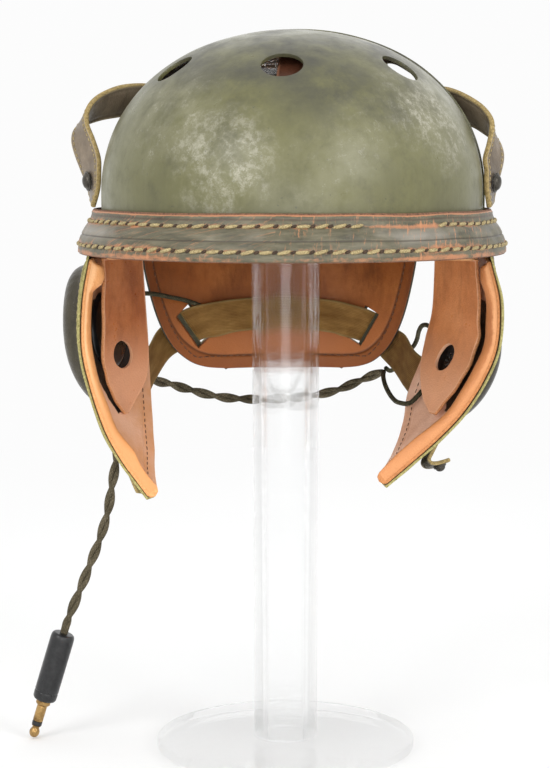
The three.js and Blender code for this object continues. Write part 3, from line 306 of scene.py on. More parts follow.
# Camera, floor and light
def make_camera():
    data = bpy.data.cameras.new("photo_camera")
    data.sensor_width = 36
    data.lens = CAMERA_LENS
    camera = bpy.data.objects.new("photo_camera", data)
    camera.location = CAMERA_PLACE
    camera.rotation_euler = (math.radians(CAMERA_TILT), 0, math.radians(CAMERA_TURN))
    bpy.context.scene.collection.objects.link(camera)
    bpy.context.scene.camera = camera


def add_light(name, place, aim, width, height, power):
    data = bpy.data.lights.new(name, "AREA")
    data.shape = "RECTANGLE"
    data.size = width
    data.size_y = height
    data.energy = power
    light = bpy.data.objects.new(name, data)
    light.location = place
    light.rotation_euler = (Vector(aim) - Vector(place)).to_track_quat("-Z", "Y").to_euler()
    bpy.context.scene.collection.objects.link(light)


def make_lights():
    world = bpy.data.worlds.new("studio")
    world.use_nodes = True
    background = world.node_tree.nodes["Background"]
    background.inputs["Color"].default_value = (0.975, 0.975, 0.975, 1)
    background.inputs["Strength"].default_value = 1.0
    bpy.context.scene.world = world
    helmet = (0, 0, 0.36)
    add_light("key_left", (-0.9, -1.3, 1.15), helmet, 0.8, 0.8, 9)
    add_light("key_right", (1.1, -1.0, 0.95), helmet, 0.7, 0.9, 8)
    add_light("low_front", (0.1, -1.6, 0.25), (0, 0, 0.27), 1.0, 0.5, 7)
    add_light("back", (0.2, 1.3, 1.0), helmet, 1.2, 0.7, 1.5)
    bpy.context.scene.view_settings.view_transform = "Standard"
    bpy.context.scene.view_settings.look = "None"


def make_floor():
    mesh = bpy.data.meshes.new("floor")
    half, low = 6.0, -0.0003
    corners = [(-half, -half, low), (half, -half, low), (half, half, low), (-half, half, low)]
    mesh.from_pydata(corners, [], [(0, 1, 2, 3)])
    floor = bpy.data.objects.new("floor", mesh)
    bpy.context.scene.collection.objects.link(floor)
    shader = Shader("floor_paper")
    tone = shader.noise(2.0, detail=2)
    paper = shader.ramp(tone, [(0.3, (0.86, 0.865, 0.865)), (0.7, (0.89, 0.89, 0.885))])
    close = shader.near((0, 0, 0), 1.3)
    colour = shader.mix(close, (0, 0, 0), paper)
    glow = shader.minus(0.975, shader.times(close, 0.975))
    shader.finish(colour, 0.95, None, Specular_IOR_Level=0.0, Emission_Color=(1, 1, 1),
                  Emission_Strength=glow)
    floor.data.materials.append(shader.material)


# Small shader builder
class Shader:
    def __init__(self, name):
        self.material = bpy.data.materials.new(name)
        self.material.use_nodes = True
        self.tree = self.material.node_tree
        self.bsdf = self.tree.nodes["Principled BSDF"]
        self.place = self.node("ShaderNodeTexCoord").outputs["Object"]

    def node(self, kind, inputs=None, **settings):
        """A node with its settings, and with its inputs fed by name or by number."""
        made = self.tree.nodes.new(kind)
        for key, value in settings.items():
            setattr(made, key, value)
        for key, value in (inputs or {}).items():
            self.feed(made.inputs[key], value)
        return made

    def feed(self, socket, value):
        if isinstance(value, bpy.types.NodeSocket):
            self.tree.links.new(value, socket)
        elif hasattr(value, "__len__") and len(value) == 3 and len(socket.default_value) == 4:
            socket.default_value = (*value, 1)
        else:
            socket.default_value = value

    def uv(self):
        return self.node("ShaderNodeUVMap", uv_map="sizes").outputs["UV"]

    def scaled(self, source, scale):
        return self.node("ShaderNodeMapping", {"Vector": source, "Scale": scale}).outputs["Vector"]

    def noise(self, per_metre, detail=4, roughness=0.55, distortion=0.0, source=None):
        inputs = {
            "Vector": source or self.place, "Scale": per_metre, "Detail": detail, "Roughness": roughness,
            "Distortion": distortion,
        }
        return self.node("ShaderNodeTexNoise", inputs).outputs["Fac"]

    def cells(self, per_metre):
        inputs = {"Vector": self.place, "Scale": per_metre}
        return self.node("ShaderNodeTexVoronoi", inputs, feature="F1").outputs["Distance"]

    def wave(self, direction, per_metre, distortion, source):
        inputs = {"Vector": source, "Scale": per_metre, "Distortion": distortion}
        made = self.node("ShaderNodeTexWave", inputs, wave_type="BANDS", bands_direction=direction)
        return made.outputs["Fac"]

    def math(self, operation, a, b=0.0):
        return self.node("ShaderNodeMath", {0: a, 1: b}, operation=operation).outputs[0]

    def times(self, a, b):
        return self.math("MULTIPLY", a, b)

    def plus(self, a, b):
        return self.math("ADD", a, b)

    def minus(self, a, b):
        return self.math("SUBTRACT", a, b)

    def larger(self, a, b):
        return self.math("MAXIMUM", a, b)

    def attribute(self, name):
        return self.node("ShaderNodeAttribute", attribute_name=name).outputs["Fac"]

    def range(self, value, low, high, to_low=0.0, to_high=1.0):
        inputs = {"Value": value, "From Min": low, "From Max": high, "To Min": to_low, "To Max": to_high}
        return self.node("ShaderNodeMapRange", inputs).outputs["Result"]

    def ramp(self, value, stops):
        made = self.node("ShaderNodeValToRGB")
        elements = made.color_ramp.elements
        while len(elements) < len(stops):
            elements.new(0.5)
        for element, (place, colour) in zip(elements, stops):
            element.position = place
            element.color = (*colour, 1)
        self.feed(made.inputs["Fac"], value)
        return made.outputs["Color"]

    def mix(self, amount, a, b):
        made = self.node("ShaderNodeMix", {0: amount, 6: a, 7: b}, data_type="RGBA", blend_type="MIX")
        return made.outputs[2]

    def node_z(self):
        return self.node("ShaderNodeSeparateXYZ", {0: self.place}).outputs["Z"]

    def ridge(self, value, middle, half):
        """1 where the value is at the middle, falling to 0 at half a width away."""
        away = self.math("ABSOLUTE", self.minus(value, middle))
        return self.range(away, half, 0.0)

    def near(self, point, radius):
        """1 within about a third of the radius of a point, falling to 0 at the radius."""
        made = self.node("ShaderNodeVectorMath", {0: self.place, 1: point}, operation="DISTANCE")
        return self.range(made.outputs["Value"], radius, radius * 0.3)

    def bump(self, height, strength, distance=0.0005, under=None):
        inputs = {"Strength": strength, "Distance": distance, "Height": height}
        if under is not None:
            inputs["Normal"] = under
        return self.node("ShaderNodeBump", inputs).outputs["Normal"]

    def finish(self, colour, roughness, normal=None, **sockets):
        sockets.update(Base_Color=colour, Roughness=roughness)
        if normal is not None:
            sockets["Normal"] = normal
        for name, value in sockets.items():
            self.feed(self.bsdf.inputs[name.replace("_", " ")], value)
        return self.material


LEATHER_PORES = 900.0


def leather(name, dark, base, light, worn, wear=0.5, gloss=0.42, scuff=0.5, edge_reach=2.5,
            low=None, lining=None, margin=None):
    """Leather: two tones under a fine grain, worn through near its edges and in scattered patches."""
    s = Shader(name)
    tone = s.noise(14, detail=5, roughness=0.6)
    colour = s.ramp(tone, [(0.28, dark), (0.5, base), (0.74, light)])
    fine = s.noise(240, detail=3)
    colour = s.mix(s.range(fine, 0.35, 0.75, 0.0, 0.22), colour, dark)
    streak = s.noise(1.0, detail=7, roughness=0.7, source=s.scaled(s.place, (45, 45, 16)))
    colour = s.mix(s.range(streak, 0.48, 0.66, 0.0, 0.75), colour, dark)
    edge = s.range(s.attribute("edge"), 0.0, edge_reach, 1.0, 0.0)
    ragged = s.noise(130, detail=6, roughness=0.7)
    worn_edge = s.range(s.plus(edge, s.times(ragged, 0.9)), 1.15 - 0.45 * wear, 1.35)
    patch = s.range(s.noise(38, detail=8, roughness=0.72), 0.66 - 0.1 * scuff, 0.74 - 0.06 * scuff)
    worn_all = s.larger(worn_edge, s.times(patch, scuff))
    colour = s.mix(worn_all, colour, worn)
    # Towards the bottom the colour is painted towards the low colour by height: painted light and shade for
    # how the light falls on the lower part, such as a painted sheen low on the leaves and the neck lining.
    if low:
        painted_low_light, high_z, low_z = low
        drift = s.plus(s.node_z(), s.times(s.minus(tone, 0.5), 0.05))
        colour = s.mix(s.range(drift, high_z, low_z, 0.0, 0.8), colour, painted_low_light)
    if margin:
        margin_colour, reach = margin
        rim = s.range(s.plus(s.attribute("edge"), s.times(ragged, 4.0)), reach + 3, reach)
        colour = s.mix(s.times(rim, 0.7), colour, margin_colour)
        seam = s.ridge(s.attribute("edge"), 8.5, 1.3)
        colour = s.mix(s.times(seam, 0.75), colour, (0.05, 0.016, 0.006))
    if lining:
        # The flat face beyond the roll is painted paler and pinker in patches: a painted sheen.
        smear_and_sheen = s.range(s.noise(30, detail=6, roughness=0.7), 0.35, 0.6, 0.35, 1.0)
        colour = s.mix(s.times(s.attribute("flat"), smear_and_sheen), colour, lining)
        # Inside the opening behind the leaf the lining is painted near black, with a jagged border: painted
        # shade in the pocket.
        shade_jag = s.times(s.minus(s.noise(260, detail=4, roughness=0.7), 0.5), 3.0)
        inside = s.range(s.plus(s.attribute("shade"), shade_jag), -0.35, 0.35)
        colour = s.mix(inside, colour, (0.006, 0.004, 0.003))
    pores = s.cells(LEATHER_PORES)
    wrinkle = s.noise(60, detail=5, roughness=0.6)
    rough = s.plus(s.range(fine, 0.3, 0.7, gloss - 0.07, gloss + 0.1), s.times(worn_all, 0.2))
    normal = s.bump(wrinkle, 0.25, 0.0015)
    normal = s.bump(pores, 0.3, 0.0004, normal)
    return s.finish(colour, rough, normal, Specular_IOR_Level=0.3)


def raw_edge(name, dark, light):
    """The cut edge of leather: fibrous, in streaks along the layers."""
    s = Shader(name)
    fibre = s.noise(700, detail=4, roughness=0.7)
    colour = s.ramp(fibre, [(0.3, dark), (0.7, light)])
    return s.finish(colour, 0.85, s.bump(fibre, 0.5, 0.0006))


def shell_paint():
    """Olive drab over pressed fibre: mottled, rubbed pale in places with painted highlights on the upper
    sides, dark round the holes, darker round the crown partly as painted shade, and near black inside as
    painted shade.
    """
    s = Shader("shell_paint")
    broad = s.noise(9, detail=5, roughness=0.6, distortion=0.4)
    olive = [(0.3, (0.080, 0.078, 0.032)), (0.5, (0.114, 0.110, 0.042)), (0.72, (0.150, 0.146, 0.066))]
    colour = s.ramp(broad, olive)
    streak = s.noise(1.0, detail=5, roughness=0.65, source=s.scaled(s.place, (260, 260, 26)))
    colour = s.mix(s.range(streak, 0.42, 0.75, 0.0, 0.2), colour, (0.19, 0.185, 0.095))
    cloud = s.noise(26, detail=6, roughness=0.66)
    # Darker clouds, strongest towards the crown: partly dark smears, partly painted shade on the top of the
    # dome.
    crown = s.range(s.node_z(), 0.375, 0.43)
    dark = s.times(s.range(cloud, 0.42, 0.62), s.plus(s.times(crown, 0.85), 0.14))
    colour = s.mix(dark, colour, (0.052, 0.05, 0.036))
    for point, radius, strength in STAINS:
        mask = s.near(tuple(c * MM for c in point), radius * MM)
        blotch = s.range(s.noise(42, detail=7, roughness=0.7), 0.4, 0.6)
        colour = s.mix(s.times(s.times(mask, blotch), strength), colour, (0.045, 0.044, 0.034))
    mottle = s.noise(75, detail=9, roughness=0.75)
    colour = s.mix(s.range(mottle, 0.5, 0.66, 0.0, 0.35), colour, (0.06, 0.058, 0.03))
    fleck = s.noise(210, detail=9, roughness=0.82)
    haze = s.noise(48, detail=6, roughness=0.7)
    for point, radius, low, strength in SCUFFS_AND_HIGHLIGHTS:
        mask = s.near(tuple(c * MM for c in point), radius * MM)
        # A pale veil round each place: partly rubbed paint, partly a painted highlight, above all on the
        # upper left and right sides.
        veil_and_highlight = s.times(mask, s.range(haze, 0.36, 0.6, 0.0, 0.6 * strength))
        colour = s.mix(veil_and_highlight, colour, (0.26, 0.25, 0.165))
        flecks = s.times(s.range(fleck, low, low + 0.1), s.range(haze, 0.42, 0.58))
        bare = s.times(s.times(mask, flecks), strength)
        colour = s.mix(bare, colour, (0.38, 0.365, 0.29))
    for degrees in VENT_ANGLES:
        place, _ = vent_frame(degrees)
        ring = s.near(tuple(place * MM), 0.026)
        smear_and_sheen = s.times(ring, s.range(cloud, 0.36, 0.6, 0.15, 0.8))
        colour = s.mix(smear_and_sheen, colour, (0.052, 0.050, 0.034))
    speck = s.range(s.noise(420, detail=2), 0.7, 0.76)
    colour = s.mix(s.times(speck, 0.5), colour, (0.04, 0.042, 0.03))
    # The inner face of the shell is painted near black: painted shade inside the dome.
    colour = s.mix(s.range(s.attribute("back"), 0.6, 0.9), colour, (0.014, 0.013, 0.010))
    rough = s.plus(s.range(cloud, 0.3, 0.75, 0.24, 0.46), s.range(mottle, 0.4, 0.65, 0.0, 0.1))
    normal = s.bump(cloud, 0.12, 0.001)
    normal = s.bump(s.noise(600, detail=3), 0.14, 0.0003, normal)
    return s.finish(colour, rough, normal, Specular_IOR_Level=0.5)


# Places on the shell with pale rubbed flecks: point, reach, threshold and strength. The pale veil round each
# is partly rubbed paint and partly painted highlight, above all on the upper left and right sides.
SCUFFS_AND_HIGHLIGHTS = [
    ((-32, -126, 362), 38, 0.46, 0.8), ((-66, -96, 392), 42, 0.54, 0.8), ((50, -112, 378), 30, 0.54, 0.5),
    ((86, -68, 392), 44, 0.47, 0.9), ((20, -128, 350), 40, 0.56, 0.5), ((60, 100, 390), 45, 0.52, 0.6),
    ((-70, 90, 370), 40, 0.53, 0.6), ((0, 20, 440), 60, 0.55, 0.5),
]
# Dark stains on the shell: point, reach and strength.
STAINS = [
    ((30, -104, 408), 34, 0.7), ((64, -96, 392), 26, 0.6), ((-22, -104, 412), 26, 0.6),
    ((-24, -126, 382), 24, 0.45), ((0, -60, 432), 46, 0.6), ((70, 60, 420), 50, 0.5),
    ((-70, 40, 410), 40, 0.5),
]


def band_leather():
    """The rim band: dark olive leather, cracked across and rubbed orange along its edges and stitching."""
    s = Shader("band_leather")
    down = s.times(s.node("ShaderNodeSeparateXYZ", {0: s.uv()}).outputs["Y"], 1000.0)  # mm
    stretched = s.scaled(s.uv(), (60, 260, 1))
    tone = s.noise(1.0, detail=5, roughness=0.65, source=stretched)
    olive = [(0.3, (0.046, 0.042, 0.025)), (0.5, (0.098, 0.088, 0.052)), (0.72, (0.17, 0.15, 0.098))]
    colour = s.ramp(tone, olive)
    patch = s.noise(17, detail=7, roughness=0.7)
    sheen = s.times(s.range(s.noise(12, detail=5, roughness=0.6), 0.46, 0.6), s.ridge(down, 13.0, 8.0))
    colour = s.mix(s.times(sheen, 0.75), colour, (0.30, 0.275, 0.235))
    top = s.range(down, 1.6, 0.0)
    low = s.range(down, 22.6, 25.5)
    seam = s.larger(s.ridge(down, 6.5, 4.2), s.ridge(down, 21.4, 4.6))
    lines = s.larger(s.larger(top, s.times(low, 0.6)), s.times(seam, 0.62))
    ragged = s.noise(1.0, detail=8, roughness=0.75, source=s.scaled(s.uv(), (150, 240, 1)))
    worn = s.plus(s.times(patch, 0.9), s.times(ragged, 0.75))
    rubbed = s.range(s.plus(s.times(lines, 0.62), worn), 1.09, 1.26)
    colour = s.mix(s.times(rubbed, 0.85), colour, (0.46, 0.19, 0.085))
    crack = s.noise(1.0, detail=5, roughness=0.75, source=s.scaled(s.uv(), (420, 70, 1)))
    cracks = s.times(s.range(crack, 0.56, 0.62), s.range(patch, 0.4, 0.55))
    colour = s.mix(s.times(cracks, 0.75), colour, (0.5, 0.22, 0.1))
    # Dark lines along the crease and the gutter under the top bead: painted shade in these grooves.
    crease = s.ridge(down, 15.8, 0.7)
    colour = s.mix(s.times(crease, 0.8), colour, (0.03, 0.02, 0.012))
    gutter = s.ridge(down, 2.6, 0.9)
    colour = s.mix(s.times(gutter, 0.7), colour, (0.06, 0.03, 0.018))
    rough = s.range(tone, 0.3, 0.75, 0.36, 0.58)
    normal = s.bump(s.noise(1.0, detail=6, source=s.scaled(s.uv(), (300, 180, 1))), 0.3, 0.0009)
    normal = s.bump(s.cells(LEATHER_PORES), 0.25, 0.0003, normal)
    return s.finish(colour, rough, normal, Specular_IOR_Level=0.45)


def webbing_cloth():
    """Elastic webbing: fine ribs along it and a faint weave across."""
    s = Shader("elastic_webbing")
    uv = s.uv()
    ribs, cross = s.wave("X", 300, 0.6, uv), s.wave("Y", 320, 1.5, uv)
    soil = s.noise(1.0, detail=6, roughness=0.65, source=s.scaled(uv, (160, 40, 1)))
    ochre = [(0.3, (0.16, 0.075, 0.016)), (0.55, (0.27, 0.145, 0.040)), (0.8, (0.40, 0.24, 0.08))]
    colour = s.ramp(soil, ochre)
    colour = s.mix(s.times(ribs, 0.28), colour, (0.10, 0.052, 0.013))
    edge = s.range(s.attribute("edge"), 0.3, 1.5, 1.0, 0.0)
    colour = s.mix(s.times(edge, 0.5), colour, (0.27, 0.2, 0.085))
    weave = s.plus(ribs, s.times(cross, 0.6))
    return s.finish(colour, 0.88, s.bump(weave, 0.5, 0.0004), Specular_IOR_Level=0.25)


def braid_cloth(name, dark, base, light):
    """Braided cotton over a wire: crossing diagonal threads."""
    s = Shader(name)
    weaves = [s.wave("DIAGONAL", 260, 0.8, s.scaled(s.uv(), (1, slant, 1))) for slant in (1, -1)]
    braid = s.times(*weaves)
    soil = s.noise(90, detail=6, roughness=0.7)
    colour = s.ramp(soil, [(0.3, dark), (0.52, base), (0.75, light)])
    colour = s.mix(s.times(s.range(braid, 0.5, 0.0), 0.55), colour, dark)
    height = s.plus(braid, s.times(s.noise(1500, detail=2), 0.5))
    return s.finish(colour, 0.9, s.bump(height, 0.7, 0.0005), Specular_IOR_Level=0.2)


def thread(name, dark, light):
    s = Shader(name)
    twist = s.noise(1600, detail=2)
    colour = s.ramp(twist, [(0.35, dark), (0.65, light)])
    return s.finish(colour, 0.7, s.bump(twist, 0.6, 0.0003))


def black_plastic():
    s = Shader("black_plastic")
    dust = s.noise(300, detail=6, roughness=0.7)
    colour = s.ramp(dust, [(0.4, (0.005, 0.005, 0.006)), (0.85, (0.026, 0.027, 0.027))])
    rough = s.range(s.noise(60, detail=5), 0.3, 0.7, 0.22, 0.4)
    return s.finish(colour, rough, s.bump(s.noise(500, detail=3), 0.06, 0.0003))


def metal(name, dark, light, roughness):
    s = Shader(name)
    stain = s.noise(170, detail=6, roughness=0.7)
    colour = s.ramp(stain, [(0.3, dark), (0.62, light)])
    rough = s.range(stain, 0.25, 0.75, roughness + 0.14, roughness - 0.08)
    return s.finish(colour, rough, s.bump(s.noise(900, detail=3), 0.1, 0.0002), Metallic=1.0)


def acrylic():
    s = Shader("acrylic")
    haze = s.noise(70, detail=5, roughness=0.7)
    colour = s.ramp(haze, [(0.3, (0.985, 0.99, 0.99)), (0.7, (0.97, 0.975, 0.975))])
    return s.finish(colour, 0.0, None, Transmission_Weight=1.0, IOR=1.35, Alpha=0.33)


# Mesh building
def link(name, mesh, materials, slot):
    for material in materials:
        mesh.materials.append(material)
    piece = bpy.data.objects.new(name, mesh)
    bpy.context.scene.collection.objects.link(piece)
    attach(piece, "root")
    return piece


def shares(columns, rows):
    return np.meshgrid(np.linspace(0, 1, columns + 1), np.linspace(0, 1, rows + 1))


def unit(vectors):
    return vectors / np.maximum(np.linalg.norm(vectors, axis=-1, keepdims=True), 1e-12)


def normals(surface, u, v):
    step = 1e-3
    u0, u1 = np.maximum(u - step, 0), np.minimum(u + step, 1)
    v0, v1 = np.maximum(v - step, 0), np.minimum(v + step, 1)
    return unit(np.cross(surface(u1, v) - surface(u0, v), surface(u, v1) - surface(u, v0)))


def arc_lengths(points, axis=0):
    """How far along its row or column of a grid, or along a line, each point is."""
    steps = np.linalg.norm(np.diff(points, axis=axis), axis=-1)
    zero = np.zeros_like(np.take(steps, [0], axis=axis))
    return np.concatenate([zero, np.cumsum(steps, axis=axis)], axis=axis)


def border_loops(rows, columns, ring):
    """The grid places round each border, in order."""
    if ring:
        return [[(0, i) for i in range(columns)], [(rows, i) for i in range(columns)]]
    loop = [(0, i) for i in range(columns)]
    loop += [(j, columns) for j in range(rows)]
    loop += [(rows, i) for i in range(columns, 0, -1)]
    loop += [(j, 0) for j in range(rows, 0, -1)]
    return [loop]


def edge_distance(points, ring):
    """How far each grid point is from the piece's border, in mm."""
    rows, columns = points.shape[0] - 1, points.shape[1] - 1
    border = [place for loop in border_loops(rows, columns, ring) for place in loop]
    rim = np.array([points[j, i] for j, i in border])
    flat = points.reshape(-1, 3)
    nearest = np.empty(len(flat))
    size = 2000
    for start in range(0, len(flat), size):
        block = flat[start:start + size]
        nearest[start:start + size] = np.sqrt(((block[:, None] - rim[None]) ** 2).sum(-1).min(1))
    return nearest.reshape(points.shape[:2])


def sized_mesh(name, points, faces, uvs):
    """A mesh of points in mm from the rim, with a UV map in real sizes."""
    mesh = bpy.data.meshes.new(name)
    mesh.from_pydata(((points + (0, 0, RIM_HEIGHT)) * MM).tolist(), [], faces)
    layer = mesh.uv_layers.new(name="sizes")
    layer.data.foreach_set("uv", (np.array(uvs, np.float32) * MM).reshape(-1))
    return mesh


def rounded_border(front, back, loop, ring, bulge, turns):
    """The rings of points that carry a sheet's edge round from its front to its back, in order."""
    rows, columns = front.shape[0] - 1, front.shape[1] - 1
    row, column = np.array(loop).T
    f, b = front[row, column], back[row, column]
    inner_row = np.clip(row, 1, rows - 1)
    inner_column = column if ring else np.clip(column, 1, columns - 1)
    middle = (front + back) / 2
    out = unit((f + b) / 2 - middle[inner_row, inner_column])
    wall = unit(f - b)
    out = unit(out - wall * (out * wall).sum(-1, keepdims=True))
    thick = np.linalg.norm(f - b, axis=-1, keepdims=True)
    rings = []
    for k in range(1, turns):
        angle = math.pi * k / turns
        between = f * (1 + math.cos(angle)) / 2 + b * (1 - math.cos(angle)) / 2
        rings.append(between + out * thick * bulge * math.sin(angle))
    return rings


def slab(name, front, back, ring=False, bulge=0.4, materials=(), slot="", edge=None, turns=4, marks=None):
    """A closed sheet between two grids of points, with rounded edges. Its second material is on the edges."""
    rows, columns = front.shape[0] - 1, front.shape[1] - 1
    across = columns if ring else columns + 1
    middle = (front + back) / 2
    along = arc_lengths(middle, 1)
    down = arc_lengths(middle, 0)
    if edge is None:
        edge = edge_distance(middle, ring)
    vertices = [front[:, :across].reshape(-1, 3), back[:, :across].reshape(-1, 3)]
    edges = [edge[:, :across].reshape(-1)] * 2
    marks = marks or {}
    marked = {key: [grid[:, :across].reshape(-1)] * 2 for key, grid in marks.items()}
    marked["back"] = [np.zeros(across * (rows + 1)), np.ones(across * (rows + 1))]
    layer = across * (rows + 1)
    faces, uvs, kinds = [], [], []

    def uv(j, i):
        return (along[j, i], down[j, i])

    for j in range(rows):
        for i in range(columns):
            corners = [(j, i), (j, i + 1), (j + 1, i + 1), (j + 1, i)]
            at = [a * across + b % across for a, b in corners]
            faces.append(at)
            uvs.extend(uv(a, b) for a, b in corners)
            faces.append([layer + k for k in reversed(at)])
            uvs.extend(uv(a, b) for a, b in reversed(corners))
            kinds.extend((0, 0))
    count = 2 * layer
    for loop in border_loops(rows, columns, ring):
        strips = [[j * across + i % across for j, i in loop]]
        for k, points in enumerate(rounded_border(front, back, loop, ring, bulge, turns), 1):
            vertices.append(points)
            edges.append(np.zeros(len(points)))
            marked["back"].append(np.full(len(points), k / turns))
            for key, grid in marks.items():
                marked[key].append(np.array([grid[j, i] for j, i in loop]))
            strips.append(list(range(count, count + len(loop))))
            count += len(loop)
        strips.append([layer + j * across + i % across for j, i in loop])
        for upper, lower in zip(strips, strips[1:]):
            for k in range(len(loop)):
                n = (k + 1) % len(loop)
                faces.append([upper[k], lower[k], lower[n], upper[n]])
                (j, i), (next_j, next_i) = loop[k], loop[n]
                if ring and n == 0:
                    next_i = columns
                uvs.extend((uv(j, i), uv(j, i), uv(next_j, next_i), uv(next_j, next_i)))
                kinds.append(1)
    mesh = sized_mesh(name, np.concatenate(vertices), faces, uvs)
    if len(materials) > 1:
        mesh.polygons.foreach_set("material_index", kinds)
    marked["edge"] = edges
    for key, values in marked.items():
        values = np.concatenate(values).astype(np.float32)
        mesh.attributes.new(key, "FLOAT", "POINT").data.foreach_set("value", values)
    tidy_mesh(mesh)
    return link(name, mesh, materials, slot)


def tidy_mesh(mesh):
    """Faces out, doubled points joined, smooth shading."""
    work = bmesh.new()
    work.from_mesh(mesh)
    bmesh.ops.remove_doubles(work, verts=work.verts, dist=1e-6)
    bmesh.ops.dissolve_degenerate(work, edges=work.edges, dist=1e-7)
    bmesh.ops.recalc_face_normals(work, faces=work.faces)
    work.to_mesh(mesh)
    work.free()
    mesh.polygons.foreach_set("use_smooth", [True] * len(mesh.polygons))
    mesh.update()


def plain_mesh(name, vertices, faces):
    mesh = bpy.data.meshes.new(name)
    mesh.from_pydata([tuple(v) for v in vertices], [], faces)
    tidy_mesh(mesh)
    return mesh


def lathe_mesh(name, profile, sides=64, place=(0, 0, 0), axis=(0, 0, 1)):
    """A turned solid: profile holds (radius, height) in mm, place is in the rim frame."""
    axis = Vector(axis).normalized()
    turn = Vector((0, 0, 1)).rotation_difference(axis).to_matrix()
    vertices = []
    for radius, height in profile:
        for k in range(sides):
            angle = 2 * math.pi * k / sides
            local = Vector((radius * math.cos(angle), radius * math.sin(angle), height))
            vertices.append((turn @ local + Vector(place) + Vector((0, 0, RIM_HEIGHT))) * MM)
    faces = []
    for j in range(len(profile) - 1):
        for k in range(sides):
            n = (k + 1) % sides
            faces.append((j * sides + k, j * sides + n, (j + 1) * sides + n, (j + 1) * sides + k))
    mesh = plain_mesh(name, vertices, faces)
    mesh.set_sharp_from_angle(angle=math.radians(50))
    return mesh


def rounded(profile, radius):
    """The same profile with each corner between its ends turned as a small arc."""
    steps = 4
    points = [Vector(p) for p in profile]
    out = [points[0]]
    for before, corner, after in zip(points, points[1:], points[2:]):
        a, b = before - corner, after - corner
        reach = min(radius, a.length * 0.45, b.length * 0.45)
        if reach < 1e-6:
            out.append(corner)
            continue
        start, end = corner + a.normalized() * reach, corner + b.normalized() * reach
        for k in range(steps + 1):
            t = k / steps
            out.append(start * (1 - t) ** 2 + corner * 2 * t * (1 - t) + end * t**2)
    out.append(points[-1])
    return [(p.x, p.y) for p in out]


def read_line(values, lengths, places):
    """A line's points or ways, read at places along it."""
    return np.stack([np.interp(places, lengths, values[:, c]) for c in range(3)], axis=1)


def catmull(route, step):
    """Points about a step apart on a smooth curve through a route."""
    points = np.array(route, float)
    points = np.vstack([2 * points[0] - points[1], points, 2 * points[-1] - points[-2]])
    out = []
    for k in range(1, len(points) - 2):
        p0, p1, p2, p3 = points[k - 1:k + 3]
        t = [0.0]
        for a, b in ((p0, p1), (p1, p2), (p2, p3)):
            t.append(t[-1] + max(np.linalg.norm(b - a), 1e-6) ** 0.5)
        count = max(int(np.linalg.norm(p2 - p1) / step * 4), 4)
        for x in np.linspace(t[1], t[2], count, endpoint=False):
            a1 = (t[1] - x) / (t[1] - t[0]) * p0 + (x - t[0]) / (t[1] - t[0]) * p1
            a2 = (t[2] - x) / (t[2] - t[1]) * p1 + (x - t[1]) / (t[2] - t[1]) * p2
            a3 = (t[3] - x) / (t[3] - t[2]) * p2 + (x - t[2]) / (t[3] - t[2]) * p3
            b1 = (t[2] - x) / (t[2] - t[0]) * a1 + (x - t[0]) / (t[2] - t[0]) * a2
            b2 = (t[3] - x) / (t[3] - t[1]) * a2 + (x - t[1]) / (t[3] - t[1]) * a3
            out.append((t[2] - x) / (t[2] - t[1]) * b1 + (x - t[1]) / (t[2] - t[1]) * b2)
    out.append(points[-2])
    out = np.array(out)
    lengths = arc_lengths(out)
    places = np.linspace(0, lengths[-1], max(int(lengths[-1] / step), 2) + 1)
    return read_line(out, lengths, places)


def frames_along(points):
    """A tangent, a side and an up at each point, carried along without twist."""
    tangent = unit(np.gradient(points, axis=0))
    side = np.zeros_like(points)
    first = np.cross(tangent[0], (0, 0, 1.0))
    if np.linalg.norm(first) < 1e-3:
        first = np.cross(tangent[0], (0, 1.0, 0))
    side[0] = unit(first)
    for k in range(1, len(points)):
        carried = side[k - 1] - tangent[k] * np.dot(side[k - 1], tangent[k])
        side[k] = unit(carried)
    return tangent, side, np.cross(tangent, side)


def tube_arrays(points, radius, sides=16):
    """Vertices, faces and UVs of a closed tube along points; radius may change along it."""
    _, side, up = frames_along(points)
    radius = np.broadcast_to(radius, len(points))
    angle = np.linspace(0, 2 * np.pi, sides, endpoint=False)
    rings = points[:, None] + radius[:, None, None] * (
        np.cos(angle)[None, :, None] * side[:, None] + np.sin(angle)[None, :, None] * up[:, None])
    vertices = np.concatenate([rings.reshape(-1, 3), points[:1], points[-1:]])
    lengths = arc_lengths(points)
    faces, uvs = [], []
    round_it = 2 * np.pi * float(radius.max())
    for j in range(len(points) - 1):
        for k in range(sides):
            n = (k + 1) % sides
            faces.append((j * sides + k, j * sides + n, (j + 1) * sides + n, (j + 1) * sides + k))
            a, b = k / sides * round_it, (k + 1) / sides * round_it
            uvs += [(a, lengths[j]), (b, lengths[j]), (b, lengths[j + 1]), (a, lengths[j + 1])]
    start, end = len(vertices) - 2, len(vertices) - 1
    last = (len(points) - 1) * sides
    for k in range(sides):
        n = (k + 1) % sides
        faces.append((start, n, k))
        faces.append((end, last + k, last + n))
        uvs += [(0, 0)] * 6
    return vertices, faces, uvs


def joined_mesh(name, parts):
    """One mesh of several (vertices, faces, uvs), in mm from the rim."""
    vertices, faces, uvs, count = [], [], [], 0
    for v, f, t in parts:
        vertices.append(v)
        faces += [tuple(i + count for i in face) for face in f]
        uvs += t
        count += len(v)
    mesh = sized_mesh(name, np.concatenate(vertices), faces, uvs)
    mesh.polygons.foreach_set("use_smooth", [True] * len(mesh.polygons))
    mesh.update()
    return mesh


def wobble(points, size, seed):
    """A smooth wandering value from -1 to 1 over space, with features about a size in mm."""
    random = np.random.default_rng(seed)
    value = 0
    for _ in range(6):
        way = unit(random.normal(size=3)) * (2 * np.pi / size) * random.uniform(0.6, 1.5)
        value = value + np.sin(points @ way + random.uniform(0, 6.28))
    return value / 6 * 1.6


